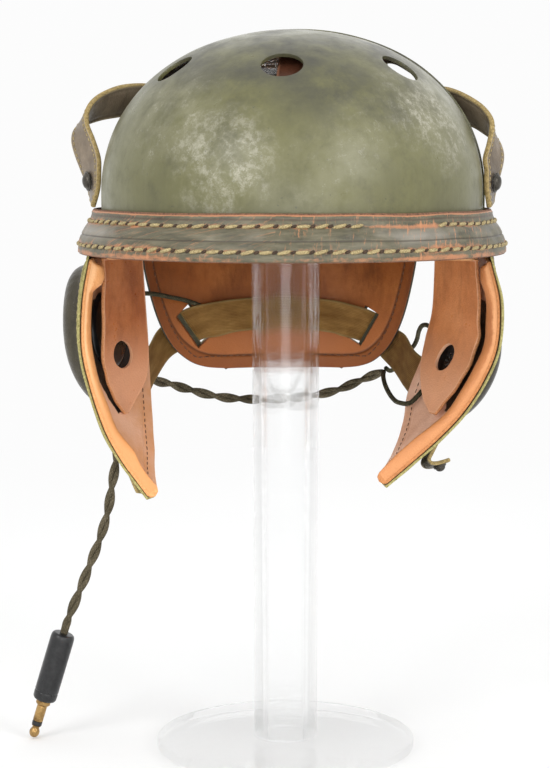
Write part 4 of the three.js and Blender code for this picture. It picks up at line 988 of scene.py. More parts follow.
def cut(piece, cutters):
    """Takes the cutters out of a piece, for good."""
    for cutter in cutters:
        modifier = piece.modifiers.new("cut", "BOOLEAN")
        modifier.operation = "DIFFERENCE"
        modifier.solver = "EXACT"
        modifier.object = cutter
    apply_modifiers(piece)
    for cutter in cutters:
        bpy.data.objects.remove(cutter)


def apply_modifiers(piece):
    graph = bpy.context.evaluated_depsgraph_get()
    mesh = bpy.data.meshes.new_from_object(piece.evaluated_get(graph))
    piece.modifiers.clear()
    old = piece.data
    name = old.name
    piece.data = mesh
    bpy.data.meshes.remove(old)
    mesh.name = name


def round_edges(piece, width, angle=40):
    modifier = piece.modifiers.new("rounding", "BEVEL")
    modifier.width = width * MM
    modifier.segments = 2
    modifier.limit_method = "ANGLE"
    modifier.angle_limit = math.radians(angle)
    modifier.harden_normals = False
    modifier.use_clamp_overlap = True


def cutter_of(mesh):
    tool = bpy.data.objects.new("cutter", mesh)
    bpy.context.scene.collection.objects.link(tool)
    return tool


def drill(radius, length, sides, start, axis):
    """A round cutter that starts at a point and runs along an axis."""
    profile = [(0, 0), (radius, 0), (radius, length), (0, length)]
    return cutter_of(lathe_mesh("cutter", profile, sides, start, axis))


def box_cutter(size, place):
    """A box cutter of a size in metres, moved and turned by a matrix."""
    tool = bmesh.new()
    bmesh.ops.create_cube(tool, size=1)
    bmesh.ops.scale(tool, vec=size, verts=tool.verts)
    bmesh.ops.transform(tool, matrix=place, verts=tool.verts)
    mesh = bpy.data.meshes.new("cutter")
    tool.to_mesh(mesh)
    tool.free()
    return cutter_of(mesh)


def bell(value, middle, half):
    """1 at the middle, falling smoothly to nothing on both sides."""
    return np.exp(-((value - middle) / half) ** 2)


def stitches(name, points, ways, kind, material, slot, slant=0.0, sink=0.35, skip=(), closed=False,
             start=0.5):
    """Thread stitches along a line on a surface: each a low arch that dips in at both ends."""
    pitch, length, radius = kind
    lengths = arc_lengths(points)
    total = lengths[-1]
    count = int(round(total / pitch))
    parts = []
    random = np.random.default_rng(len(points))
    for k in range(count):
        middle = (k + start) * total / count
        if any(low <= middle / total <= high for low, high in skip):
            continue
        jitter = random.uniform(-0.12, 0.12)
        reach = length * random.uniform(0.92, 1.05)
        places = middle + reach * np.linspace(-0.5, 0.5, 7)
        places = places % total if closed else np.clip(places, 0, total)
        line, way = read_line(points, lengths, places), read_line(ways, lengths, places)
        along = unit(line[-1] - line[0])
        across = np.cross(unit(way[3]), along)
        t = np.linspace(-1, 1, 7)
        lift = radius * (1.25 * (1 - t**4) - sink * 2)
        line = line + unit(way) * lift[:, None] + across[None] * (slant + jitter) * t[:, None] * length / 2
        thick = radius * np.array([0.55, 0.9, 1.0, 1.05, 1.0, 0.9, 0.55])
        parts.append(tube_arrays(line, thick, sides=7))
    mesh = joined_mesh(name, parts)
    return link(name, mesh, [material], slot)


def inset_line(points, outward, distance, sides="uvU"):
    """A line on a grid at a distance from its left (u), right (U), low (v) and top (V) borders."""
    along = arc_lengths(points, 1)
    down = arc_lengths(points, 0)
    rows, columns = points.shape[0], points.shape[1]
    line, ways = [], []

    def at(grid, j, i):
        j0, i0 = min(int(j), rows - 2), min(int(i), columns - 2)
        a, b = j - j0, i - i0
        top = grid[j0, i0] * (1 - b) + grid[j0, i0 + 1] * b
        low = grid[j0 + 1, i0] * (1 - b) + grid[j0 + 1, i0 + 1] * b
        return top * (1 - a) + low * a

    def add(j, i):
        line.append(at(points, j, i))
        ways.append(at(outward, j, i))

    last_row = np.interp(distance, down[-1, columns // 2] - down[::-1, columns // 2], np.arange(rows)[::-1])
    first_row = np.interp(distance, down[:, columns // 2], np.arange(rows)) if "V" in sides else 0
    left, right = [], []
    for j in np.arange(first_row, last_row):
        row = along[int(j)]
        left.append((j, np.interp(distance, row, np.arange(columns))))
        right.append((j, np.interp(row[-1] - distance, row, np.arange(columns))))
    if "u" in sides:
        for j, i in left:
            add(j, i)
    if "v" in sides:
        for i in np.arange(left[-1][1], right[-1][1]):
            add(last_row, i)
    if "U" in sides:
        for j, i in reversed(right):
            add(j, i)
    if "V" in sides:
        for i in np.arange(right[0][1], left[0][1], -1):
            add(first_row, i)
    return np.array(line), unit(np.array(ways))


# Surfaces, as in the CAD
def dome(turn, rise, grown):
    angle = turn * 2 * np.pi
    sweep = np.maximum(rise - SHELL_UPRIGHT_SHARE, 0) / (1 - SHELL_UPRIGHT_SHARE) * np.pi / 2
    reach = np.maximum(np.cos(sweep), 0) ** (2 / SHELL_ROUNDNESS)
    lift = np.sin(sweep) ** (2 / SHELL_ROUNDNESS)
    wall = np.minimum(rise / SHELL_UPRIGHT_SHARE, 1) * SHELL_UPRIGHT
    return np.stack([
        (SHELL_HALF_WIDTH + grown) * reach * np.sin(angle),
        -(SHELL_HALF_LENGTH + grown) * reach * np.cos(angle),
        wall + (SHELL_CREST - SHELL_UPRIGHT + grown) * lift,
    ], axis=-1)


def vent_frame(degrees):
    angle = math.radians(degrees)
    lift = (VENT_HEIGHT - SHELL_UPRIGHT) / (SHELL_CREST - SHELL_UPRIGHT)
    reach = (1 - lift**SHELL_ROUNDNESS) ** (1 / SHELL_ROUNDNESS)
    place = np.array([
        SHELL_HALF_WIDTH * reach * math.sin(angle),
        -SHELL_HALF_LENGTH * reach * math.cos(angle),
        VENT_HEIGHT,
    ])
    slope = reach ** (SHELL_ROUNDNESS - 1)
    outward = np.array([
        slope * math.sin(angle) / SHELL_HALF_WIDTH,
        -slope * math.cos(angle) / SHELL_HALF_LENGTH,
        lift ** (SHELL_ROUNDNESS - 1) / (SHELL_CREST - SHELL_UPRIGHT),
    ])
    return place + (0, 0, RIM_HEIGHT), outward / np.linalg.norm(outward)


def ellipse(turn, offset, z):
    angle = turn * 2 * np.pi
    return np.stack([
        (SHELL_HALF_WIDTH + offset) * np.sin(angle),
        -(SHELL_HALF_LENGTH + offset) * np.cos(angle),
        z + 0 * angle,
    ], axis=-1)


def flap_surface(edges, side):
    def surface(u, v):
        row = row_at(edges, v)
        bow = row["bow"] * SHELL_HALF_WIDTH * np.sin(np.pi * u)
        out = (row["front_out"] * (1 - u) + row["rear_out"] * u) * SHELL_HALF_WIDTH + bow
        back = (row["front_back"] * (1 - u) + row["rear_back"] * u) * SHELL_HALF_LENGTH
        return np.stack([side * out, back, -row["down"] * EAR_FLAP_DROP], axis=-1)
    return surface


def outward(surface, side, u, v):
    n = normals(surface, u, v)
    return np.where((n[..., :1] * side) < 0, -n, n)


def neck_surface(inset):
    def surface(u, v):
        row = row_at(NECK_FLAP_OUTLINE, v)
        x = NECK_FLAP_SHIFT + (2 * u - 1) * row["half"] * NECK_FLAP_HALF_WIDTH
        out = REAR_GROWTH + NECK_FLAP_SEAT - inset
        bend = np.sqrt(1 - (x / (SHELL_HALF_WIDTH + out)) ** 2)
        y = (SHELL_HALF_LENGTH + out) * bend - NECK_FLAP_LEAN * np.maximum(row["down"], 0)
        return np.stack([x, y, -row["down"] * NECK_FLAP_DROP], axis=-1)
    return surface


def webbing_surface(u, v):
    row = row_at(WEBBING_EDGES, v)
    ends = []
    for edge in ("top", "low"):
        ends.append(np.stack([
            row[edge + "_x"] * SHELL_HALF_WIDTH, row[edge + "_y"] * SHELL_HALF_LENGTH,
            -row[edge + "_down"] * NECK_FLAP_DROP,
        ], axis=-1))
    return ends[0] * (1 - u)[..., None] + ends[1] * u[..., None]


def side_strap_surface(edges, side):
    def surface(u, v):
        row = row_at(edges, v)
        lines = []
        for key, size in (("out", side * SHELL_HALF_WIDTH), ("back", SHELL_HALF_LENGTH), ("up", SHELL_CREST)):
            lines.append((row["front_" + key] * (1 - u) + row["rear_" + key] * u) * size)
        return np.stack(lines, axis=-1)
    return surface


def point_at(surface, u, v):
    return surface(np.array([[u]]), np.array([[v]]))[0, 0]


# Cords
def plug_axis():
    tilt = math.radians(PLUG_TILT)
    return np.array([math.sin(tilt), 0, math.cos(tilt)])


PLUG_PARTS = [
    ("plug_tip", PLUG_TIP_LENGTH, PLUG_SLEEVE_RADIUS),
    ("plug_insulator", PLUG_INSULATOR_LENGTH, PLUG_SLEEVE_RADIUS),
    ("plug_sleeve", PLUG_SLEEVE_LENGTH, PLUG_SLEEVE_RADIUS),
    ("plug_collar", PLUG_COLLAR_LENGTH, PLUG_COLLAR_RADIUS),
    ("plug_body", PLUG_BODY_LENGTH, PLUG_BODY_RADIUS),
]
# Each part's turned outline from its tip end, in shares of its radius and its length.
PLUG_PROFILES = {
    "plug_tip": [(0, 0), (0.3, 0.0), (0.62, 0.06), (0.88, 0.2), (1, 0.36), (1, 0.52), (0.84, 0.68),
                 (0.7, 0.78), (0.7, 0.93), (0.96, 0.97), (0.96, 1), (0, 1)],
    "plug_insulator": [(0, 0), (1, 0), (1, 1), (0, 1)],
    "plug_sleeve": [(0, 0), (1, 0), (1, 1), (0, 1)],
    "plug_collar": [(0, 0), (0.82, 0), (1, 0.25), (1, 1), (0, 1)],
    "plug_body": [(0, 0), (0.72, 0), (0.9, 0.012), (0.985, 0.04), (1, 0.09), (1, 0.12), (0.975, 0.125),
                  (0.975, 0.14), (1, 0.145), (1, 0.9), (0.985, 0.95), (0.93, 0.98), (0.8, 1), (0, 1)],
}


def plug_tip_place():
    return np.array([PLUG_TIP_X, 0, TIP_CLEARANCE - RIM_HEIGHT])


def make_plug():
    axis, pieces, along = plug_axis(), [], 0
    black = ("plug_insulator", "plug_body")
    for name, length, radius in PLUG_PARTS:
        profile = rounded([(r * radius, z * length) for r, z in PLUG_PROFILES[name]], 0.35)
        mesh = lathe_mesh(name + "_turned", profile, 48, plug_tip_place() + axis * along, axis)
        material, slot = (BLACK, "black_plastic") if name in black else (BRASS, "brass")
        piece = link(name + "_turned", mesh, [material], slot)
        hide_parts(name)
        pieces.append(piece)
        along += length + PIECE_GAP
    return pieces, along - PIECE_GAP


def make_headset_cord():
    """Two strands twisted round one line, from the left flap down to the plug."""
    plug_pieces, plug_length = make_plug()
    axis = plug_axis()
    top = plug_tip_place() + axis * plug_length
    straight = top + axis * PLUG_STRAIGHT * CORD_DIAMETER
    route = HEADSET_CORD_ROUTE + [tuple(straight), tuple(top - axis * CORD_SOCKET)]
    centre = catmull(route, CURVE_STEP)
    _, side, up = frames_along(centre)
    lengths = arc_lengths(centre)
    strand = CORD_DIAMETER / 4
    join = np.clip((lengths[-1] - lengths) / 9, 0.55, 1)  # the strands close up as they enter the plug
    parts = []
    for phase in (0, np.pi):
        angle = 2 * np.pi * lengths / CORD_TWIST_PITCH + phase
        around = np.cos(angle)[:, None] * side + np.sin(angle)[:, None] * up
        parts.append(tube_arrays(centre + (strand * join)[:, None] * around, strand * 1.02, sides=14))
    cord = link("headset_cord_twist", joined_mesh("headset_cord_twist", parts), [BRAID], "braid")
    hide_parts("headset_cord")
    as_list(plug_pieces)


def make_lead(name, route):
    line = catmull(route, CURVE_STEP)
    mesh = joined_mesh(name + "_wire", [tube_arrays(line, LEAD_DIAMETER / 2, sides=14)])
    lead = link(name + "_wire", mesh, [LEAD_BRAID], "braid")
    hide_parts(name)


def make_cords():
    make_headset_cord()
    make_lead("lead_left", LEFT_LEAD_ROUTE)
    make_lead("lead_right_upper", RIGHT_UPPER_LEAD_ROUTE)
    make_lead("lead_right_lower", RIGHT_LOWER_LEAD_ROUTE)


# Shell
def shell_piece(name, grown, low_y, high_y):
    """One part of the dome between two planes across it, bored by the vents that it meets."""
    u, v = shares(220, 84)
    v = 1 - (1 - v) ** 1.15  # the rows crowd a little towards the crown
    outer, inner = dome(u, v, grown), dome(u, v, grown - SHELL_WALL)
    ripple = wobble(outer, size=46, seed=11)[..., None] * 0.16
    out = unit(outer - (0, 0, 10))
    piece = slab(name, outer + out * ripple, inner + out * ripple, ring=True, bulge=0.3,
                 materials=[SHELL_PAINT], slot="shell_paint", edge=np.full(u.shape, 30.0))
    work = bmesh.new()
    work.from_mesh(piece.data)
    bmesh.ops.remove_doubles(work, verts=work.verts, dist=2e-5)
    work.to_mesh(piece.data)
    work.free()
    cutters = []
    for start, end in ((-FAR, low_y), (high_y, FAR)):
        if end > start:
            place = Matrix.Translation((0, (start + end) / 2 * MM, 0.37))
            cutters.append(box_cutter((0.6, (end - start) * MM, 0.6), place))
    for degrees in VENT_ANGLES:
        place, axis = vent_frame(degrees)
        cutters.append(drill(VENT_RADIUS, 30, 48, place - axis * 15 - (0, 0, RIM_HEIGHT), axis))
    cut(piece, cutters)
    round_edges(piece, 0.6)
    return piece


def make_shell():
    front = shell_piece("shell_front_skin", 0, -FAR, REAR_SHELL_EDGE + SHELL_OVERLAP)
    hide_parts("shell_front")
    rear = shell_piece("shell_rear_skin", REAR_GROWTH, REAR_SHELL_EDGE, FAR)
    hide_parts("shell_rear")


def make_band():
    u, v = shares(400, 60)
    row = row_at(BAND_SECTION, v)
    outer = ellipse(u, REAR_GROWTH + row["out"], row["height"] * BAND_HEIGHT)
    inner = ellipse(u, REAR_GROWTH + row["inside"], row["height"] * BAND_HEIGHT)
    down = arc_lengths(outer, 0)
    out = unit(outer * (1, 1, 0))
    relief = -0.5 * bell(down, BAND_HIGH_SEAM, 1.3) - 0.4 * bell(down, BAND_LOW_SEAM, 1.2)
    relief -= 0.55 * bell(down, BAND_CREASE, 0.5)
    relief += 0.35 * wobble(outer * (1, 1, 2.2), size=22, seed=5) * np.sin(np.pi * v)
    relief += 0.5 * bell(down, 1.0, 0.9)
    outer = outer + out * relief[..., None]
    outer[..., 2] += 0.5 * wobble(outer, size=60, seed=8) * (1 - v)
    outer[:, -1], inner[:, -1] = outer[:, 0], inner[:, 0]
    band = slab("rim_band_leather", outer, inner, ring=True, bulge=0.45, materials=[BAND, BAND_EDGE],
                slot="band_leather")
    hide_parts("rim_band")
    for name, middle, skip in (("rim_stitches_upper", BAND_HIGH_SEAM, (BAND_SEAM_BREAK,)),
                               ("rim_stitches_lower", BAND_LOW_SEAM, ())):
        row = np.abs(down[:, 0] - middle).argmin()
        stitches(name, outer[row], out[row], BAND_STITCH, THREAD, "band_leather", slant=0.17,
                 skip=skip, closed=True)
        # Dark marks at each stitch end: painted shade inside the stitch holes.
        stitches(name + "_hole_shades", outer[row], out[row], BAND_STITCH_HOLE, STITCH_HOLE_SHADE, "band_leather", slant=0.5,
                 sink=0.5, skip=skip, closed=True, start=0.0)


def make_sweatband():
    u, v = shares(240, 14)
    bottom = -SWEATBAND_SIDE_DROP * np.abs(np.sin(u * 2 * np.pi)) ** SWEATBAND_DROP_POWER
    z = bottom + v * (SWEATBAND_HEIGHT - bottom)
    front = ellipse(u, -(SHELL_WALL + PIECE_GAP), z)
    back = ellipse(u, -(SHELL_WALL + PIECE_GAP + SWEATBAND_WALL), z)
    piece = slab("sweatband_leather", front, back, ring=True, bulge=0.3, materials=[PALE, PALE_EDGE],
                 slot="pale_leather")
    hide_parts("sweatband")


def crown_strap(name, node, across, inset, shift):
    u, v = shares(14, 90)
    sweep = (v - 0.5) * np.pi * CROWN_STRAP_FOOT
    reach = np.sign(np.sin(sweep)) * np.abs(np.sin(sweep)) ** (2 / SHELL_ROUNDNESS)
    lift = np.cos(sweep) ** (2 / SHELL_ROUNDNESS)
    seat = SHELL_WALL + PIECE_GAP + CROWN_STRAP_SEAT
    clear = seat + (inset - seat) * np.minimum(CROWN_STRAP_DRAW * (1 - np.abs(2 * v - 1)), 1)
    span = (SHELL_HALF_WIDTH if across else SHELL_HALF_LENGTH) - clear
    side = shift + (u - 0.5) * CROWN_STRAP_WIDTH
    other = SHELL_HALF_LENGTH if across else SHELL_HALF_WIDTH
    sink = (SHELL_CREST - SHELL_UPRIGHT) * CROWN_STRAP_CURL * (side / other) ** 2
    z = SHELL_UPRIGHT + (SHELL_CREST - SHELL_UPRIGHT - clear) * lift - sink
    pair = (reach * span, side) if across else (side, reach * span)
    outer = np.stack([*pair, z], axis=-1)
    n = np.cross(np.gradient(outer, axis=1), np.gradient(outer, axis=0))
    if n[v.shape[0] // 2, v.shape[1] // 2, 2] < 0:
        n = -n
    inner = outer - unit(n) * CROWN_STRAP_WALL
    piece = slab(name, outer, inner, materials=[CROWN, BAND_EDGE], slot="crown_leather")
    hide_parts(node)


def make_inside():
    make_sweatband()
    crown_strap("crown_strap_long_leather", "crown_strap_long", False, CROWN_STRAP_INSET, LONG_STRAP_SHIFT)
    crown_strap("crown_strap_cross_leather", "crown_strap_cross", True,
                CROWN_STRAP_INSET + CROWN_STRAP_WALL + 2 * PIECE_GAP, 0)


# Ears
# How full the rolled front edge of each lining is: share of the way down, share of the full roll.
LEFT_ROLL = [
    (0.0, 0.1), (0.02, 0.9), (0.07, 1.2), (0.1, 1.1), (0.13, 0.5), (0.3, 0.42), (0.48, 0.5), (0.6, 0.75),
    (0.75, 1.0), (1.0, 0.9),
]
RIGHT_ROLL = [
    (0.0, 0.1), (0.02, 0.8), (0.07, 1.05), (0.12, 0.8), (0.2, 0.68), (0.35, 0.62), (0.5, 0.72), (0.62, 0.85),
    (0.8, 1.0), (1.0, 0.9),
]
# Where each receiver sits on its flap and each hole on its leaf, in shares along and down.
EARS = {
    "left": {"side": -1, "flap": LEFT_FLAP_EDGES, "leaf": LEFT_LEAF_EDGES, "roll": LEFT_ROLL,
             "seat": (0.5, 0.345), "hole": (0.46, 0.39)},
    "right": {"side": 1, "flap": RIGHT_FLAP_EDGES, "leaf": RIGHT_LEAF_EDGES, "roll": RIGHT_ROLL,
              "seat": (0.6, 0.47), "hole": (0.52, 0.5)},
}


def frame_at(surface, side, share):
    u, v = np.array([[share[0]]]), np.array([[share[1]]])
    return surface(u, v)[0, 0], outward(surface, side, u, v)[0, 0]


def ear_bore(place, axis):
    return drill(RECEIVER_RADIUS + PIECE_GAP, 60, 72, place - axis * 30, axis)


def make_ear_flap(name, ear):
    side, surface = ear["side"], flap_surface(ear["flap"], ear["side"])
    place, axis = frame_at(surface, side, ear["seat"])
    u, v = shares(90, 140)
    points, out = surface(u, v), outward(surface, side, u, v)
    d = edge_distance(points, False)
    relief = -0.35 * bell(d, EAR_FLAP_SEAM, 0.9) + 0.22 * wobble(points, size=30, seed=21)
    front = points + out * relief[..., None]
    back = points - out * EAR_FLAP_WALL
    piece = slab(f"ear_flap_{name}_leather", front, back, materials=[GREEN, GREEN_EDGE],
                 slot="green_leather", edge=d)
    cut(piece, [ear_bore(place, axis)])
    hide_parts(f"ear_flap_{name}")
    line, ways = inset_line(front, out, EAR_FLAP_SEAM)
    stitches(f"ear_flap_{name}_stitches", line, ways, EAR_FLAP_STITCH, THREAD, "green_leather", slant=0.12)


def leaf_shade(points, ear):
    """How far, in mm, each point of a lining lies inside the opening behind its leaf, where it is painted
    near black as painted shade.
    """
    down = -points[..., 2] / EAR_FLAP_DROP
    back = points[..., 1] / SHELL_HALF_LENGTH
    rows = np.array(ear["leaf"]["rows"])
    open_high = np.clip((0.6 - down) * 5, 0, 1)
    front_limit = np.interp(down, rows[:, 0], rows[:, 2]) - 0.018 - 0.04 * open_high
    rear_limit = np.interp(down, rows[:, 0], rows[:, 4]) + 0.012 + 2.5 * np.maximum(0.55 - down, 0)
    low_limit = rows[-1, 0] + 0.012
    inside = np.minimum(back - front_limit, rear_limit - back) * SHELL_HALF_LENGTH
    inside = np.minimum(inside, (low_limit - down) * EAR_FLAP_DROP)
    return np.minimum(inside, (down - EAR_LINING_TOP - 0.1) * EAR_FLAP_DROP)


def make_ear_lining(name, ear):
    side, flap = ear["side"], flap_surface(ear["flap"], ear["side"])
    place, axis = frame_at(flap, side, ear["seat"])
    margin = EAR_LINING_MARGIN

    def shrunk(a, b):
        return flap(margin + a * (1 - 2 * margin), EAR_LINING_TOP + b * (1 - EAR_LINING_TOP - margin))

    u, v = shares(110, 160)
    u = u ** 1.25  # the columns crowd towards the rolled front edge
    depth = EAR_FLAP_WALL + PIECE_GAP
    points, out = shrunk(u, v), outward(shrunk, side, u, v)
    share = np.minimum(u / EAR_ROLL_SHARE, 1)
    fullness = np.interp(v, *zip(*ear["roll"]))
    roll = EAR_ROLL_THICKNESS * fullness * np.sqrt(np.maximum(1 - (2 * share - 1) ** 2, 0)) * (share < 1)
    roll = roll * (1 + 0.14 * wobble(points, size=26, seed=31 + side))
    flat = np.clip((u / EAR_ROLL_SHARE - 0.75) * 3, 0, 1)
    d = edge_distance(points, False)
    groove = -0.5 * bell(d, EAR_LINING_SEAM, 0.8) * (u > 0.3)
    lift = EAR_LINING_WALL + roll + groove + 0.15 * wobble(points, size=24, seed=3)
    lift = lift + (EAR_LAYER_GAP - PIECE_GAP) * flat
    face = points - out * (depth + lift)[..., None]
    back = points - out * depth
    marks = {"flat": flat, "shade": leaf_shade(points, ear)}
    piece = slab(f"ear_lining_{name}_pad", back, face, bulge=0.42, materials=LINING_LIT_AND_SHADED_LEATHERS[name],
                 slot="pale_leather", edge=d, marks=marks)
    cut(piece, [ear_bore(place, axis)])
    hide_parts(f"ear_lining_{name}")
    line, ways = inset_line(face, -out, EAR_LINING_SEAM, sides="U")
    stitches(f"ear_lining_{name}_stitches", line, ways, EAR_LINING_STITCH, DARK_THREAD, "pale_leather")


def make_leaf(name, ear):
    side, surface = ear["side"], flap_surface(ear["leaf"], ear["side"])
    u, v = shares(50, 100)
    u = u + (1 - u) * (0.02 + 0.025 * np.sin(v * 23 + side) * np.sin(v * 9 + 1))
    points, out = surface(u, v), outward(surface, side, u, v)
    swell = 0.7 * wobble(points, size=30, seed=41 + side) * np.sin(np.pi * v) * np.sin(np.pi * u)
    points = points + out * swell[..., None]
    front, back = points + out * LEAF_WALL / 2, points - out * LEAF_WALL / 2
    piece = slab(f"ear_leaf_{name}_leather", front, back, materials=[LEAF_LIT_AND_SHADED_LEATHERS[name], TAN_EDGE],
                 slot="tan_leather")
    place, axis = frame_at(surface, side, ear["hole"])
    mesh = lathe_mesh("cutter", [(0, -10), (1, -10), (1, 10), (0, 10)], 48, (0, 0, -RIM_HEIGHT))
    scale = Matrix.Diagonal((EAR_HOLE_HEIGHT / 2, EAR_HOLE_WIDTH / 2, 1, 1))
    turn = Vector((0, 0, 1)).rotation_difference(Vector(axis)).to_matrix().to_4x4()
    mesh.transform(Matrix.Translation(Vector(place + (0, 0, RIM_HEIGHT)) * MM) @ turn @ scale)
    cut(piece, [cutter_of(mesh)])
    round_edges(piece, 0.4, angle=50)
    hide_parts(f"ear_leaf_{name}")


def make_receiver(name, ear):
    side, surface = ear["side"], flap_surface(ear["flap"], ear["side"])
    place, axis = frame_at(surface, side, ear["seat"])
    low, high, r = RECEIVER_OUTSIDE - RECEIVER_THICKNESS, RECEIVER_OUTSIDE, RECEIVER_RADIUS
    dished_face = [(0, low + 1.2), (7, low + 1.2), (9, low + 0.6), (12, low), (r - 2.4, low)]
    profile = rounded(dished_face + [(r, low + 2), (r, high - 3), (r - 3, high), (0, high)], 1.0)
    mesh = lathe_mesh(f"receiver_{name}_case", profile, 72, place, axis)
    piece = link(f"receiver_{name}_case", mesh, [BLACK], "black_plastic")
    holes = []
    side_way = unit(np.cross(axis, (0, 0, 1.0)))
    up_way = np.cross(axis, side_way)
    for ring, count in RECEIVER_HOLE_RINGS:
        for k in range(count):
            angle = 2 * math.pi * k / count
            spot = place + side_way * ring * math.cos(angle) + up_way * ring * math.sin(angle)
            spot = spot + axis * (low - 1)
            holes.append(drill(RECEIVER_HOLE_RADIUS, RECEIVER_HOLE_DEPTH, 10, spot, axis))
    cut(piece, holes)
    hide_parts(f"receiver_{name}")


def make_cover(name, ear):
    side, surface = ear["side"], flap_surface(ear["flap"], ear["side"])
    seat = ear["seat"]
    width = np.linalg.norm(point_at(surface, 1, seat[1]) - point_at(surface, 0, seat[1]))
    height = np.linalg.norm(point_at(surface, 0.5, 1) - point_at(surface, 0.5, 0))
    u, v = shares(120, 44)
    radius = v * COVER_RADIUS
    angle = u * 2 * np.pi
    along, down = seat[0] + radius * np.cos(angle) / width, seat[1] + radius * np.sin(angle) / height
    in_cup = np.minimum(radius / (COVER_RADIUS - COVER_FLANGE), 1)
    rise = COVER_RISE * np.sqrt(np.maximum(1 - in_cup**COVER_FULLNESS, 0))
    foot, out = surface(along, down), outward(surface, side, along, down)
    pucker = 0.22 * np.sin(angle * COVER_PUCKERS) * np.clip((in_cup - 0.8) * 6, 0, 1)
    pucker = pucker * (radius < COVER_RADIUS - COVER_SEAM)
    lift = rise + 0.35 * wobble(foot, size=26, seed=51) * (1 - in_cup) + pucker
    front = foot + out * (PIECE_GAP + lift + COVER_WALL)[..., None]
    back = foot + out * (PIECE_GAP + rise)[..., None]
    d = np.where(v > 0.5, COVER_RADIUS - radius, 20.0)
    piece = slab(f"receiver_cover_{name}_leather", back, front, ring=True, materials=[COVER, GREEN_EDGE],
                 slot="cover_leather", edge=d)
    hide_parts(f"receiver_cover_{name}")
    row = np.abs(radius[:, 0] - (COVER_RADIUS - COVER_SEAM)).argmin()
    stitches(f"receiver_cover_{name}_stitches", front[row], out[row], COVER_STITCH, THREAD, "cover_leather",
             closed=True)


def make_ears():
    for name, ear in EARS.items():
        make_ear_flap(name, ear)
        make_ear_lining(name, ear)
        make_leaf(name, ear)
        make_receiver(name, ear)
        make_cover(name, ear)


# Neck flap and webbing
def slit_cutter(row, width):
    """A box along one row of the webbing, a little longer than the webbing is wide."""
    source = WEBBING_EDGES["rows"][row]
    size = (SHELL_HALF_WIDTH, SHELL_HALF_LENGTH, -NECK_FLAP_DROP)
    top, low = Vector(source[:3] * size), Vector(source[3:] * size)
    length = (top - low).length + 2 * SLIT_SPARE
    turn = Vector((0, 0, 1)).rotation_difference((top - low).normalized()).to_matrix().to_4x4()
    middle = ((top + low) / 2 + Vector((0, 0, RIM_HEIGHT))) * MM
    return box_cutter((width * MM, 0.04, length * MM), Matrix.Translation(middle) @ turn)


def make_neck_flap():
    u, v = shares(180, 96)
    layers = [
        ("neck_flap", 0, NECK_FLAP_WALL, OUTER_SLIT_WIDTH, [GREEN, GREEN_EDGE], THREAD, "green_leather"),
        ("neck_lining", NECK_FLAP_WALL + PIECE_GAP, NECK_LINING_WALL, SLIT_WIDTH, [NECK_TAN, DARK_EDGE],
         DARK_THREAD, "tan_leather"),
    ]
    for name, inset, wall, slit_width, leathers, sewing, slot in layers:
        front, back = neck_surface(inset)(u, v), neck_surface(inset + wall)(u, v)
        d = edge_distance(front, False)
        way = unit(back - front)
        channel = 0.55 * bell(d, NECK_SEAM, 0.8) * (v > 0.06)
        relief = (0.25 * wobble(front, size=40, seed=61) * 0.6 - channel)[..., None]
        if name == "neck_lining":
            back = back + way * relief
            face, ways = back, way
        else:
            front = front - way * relief
            face, ways = front, -way
        piece = slab(name + "_leather", front, back, materials=leathers, slot=slot, edge=d)
        cut(piece, [slit_cutter(row, slit_width) for row in SLIT_ROWS])
        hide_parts(name)
        line, out = inset_line(face, ways, NECK_SEAM)
        stitches(name + "_stitches", line, out, NECK_STITCH, sewing, slot)


def make_webbing():
    u, v = shares(16, 420)
    points = webbing_surface(u, v)
    n = unit(np.cross(np.gradient(points, axis=1), np.gradient(points, axis=0)))
    cord_edge = 0.12 * bell(np.minimum(u, 1 - u) * WEBBING_WIDTH, 0.6, 0.5)
    front = points + n * (WEBBING_WALL / 2 + cord_edge)[..., None]
    back = points - n * (WEBBING_WALL / 2 + cord_edge)[..., None]
    piece = slab("elastic_webbing_cloth", front, back, bulge=0.3, materials=[WEBBING], slot="webbing")
    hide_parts("elastic_webbing")
    length = arc_lengths(points, 0)[-1, points.shape[1] // 2]


# Side straps and metalwork
def cap_mesh(name, place, axis, radius, rise, ring):
    """A domed cap, with or without a raised ring round it."""
    profile = [(0, 0), (radius, 0), (radius, 0.5)]
    if ring:
        profile += [(radius * 0.86, 0.9), (radius * 0.8, 0.7)]
    reach = radius * (0.78 if ring else 0.97)
    for k in range(1, 9):
        angle = k / 8 * math.pi / 2
        profile.append((reach * math.cos(angle), 0.7 + rise * math.sin(angle)))
    return lathe_mesh(name, profile, 40, place, axis)


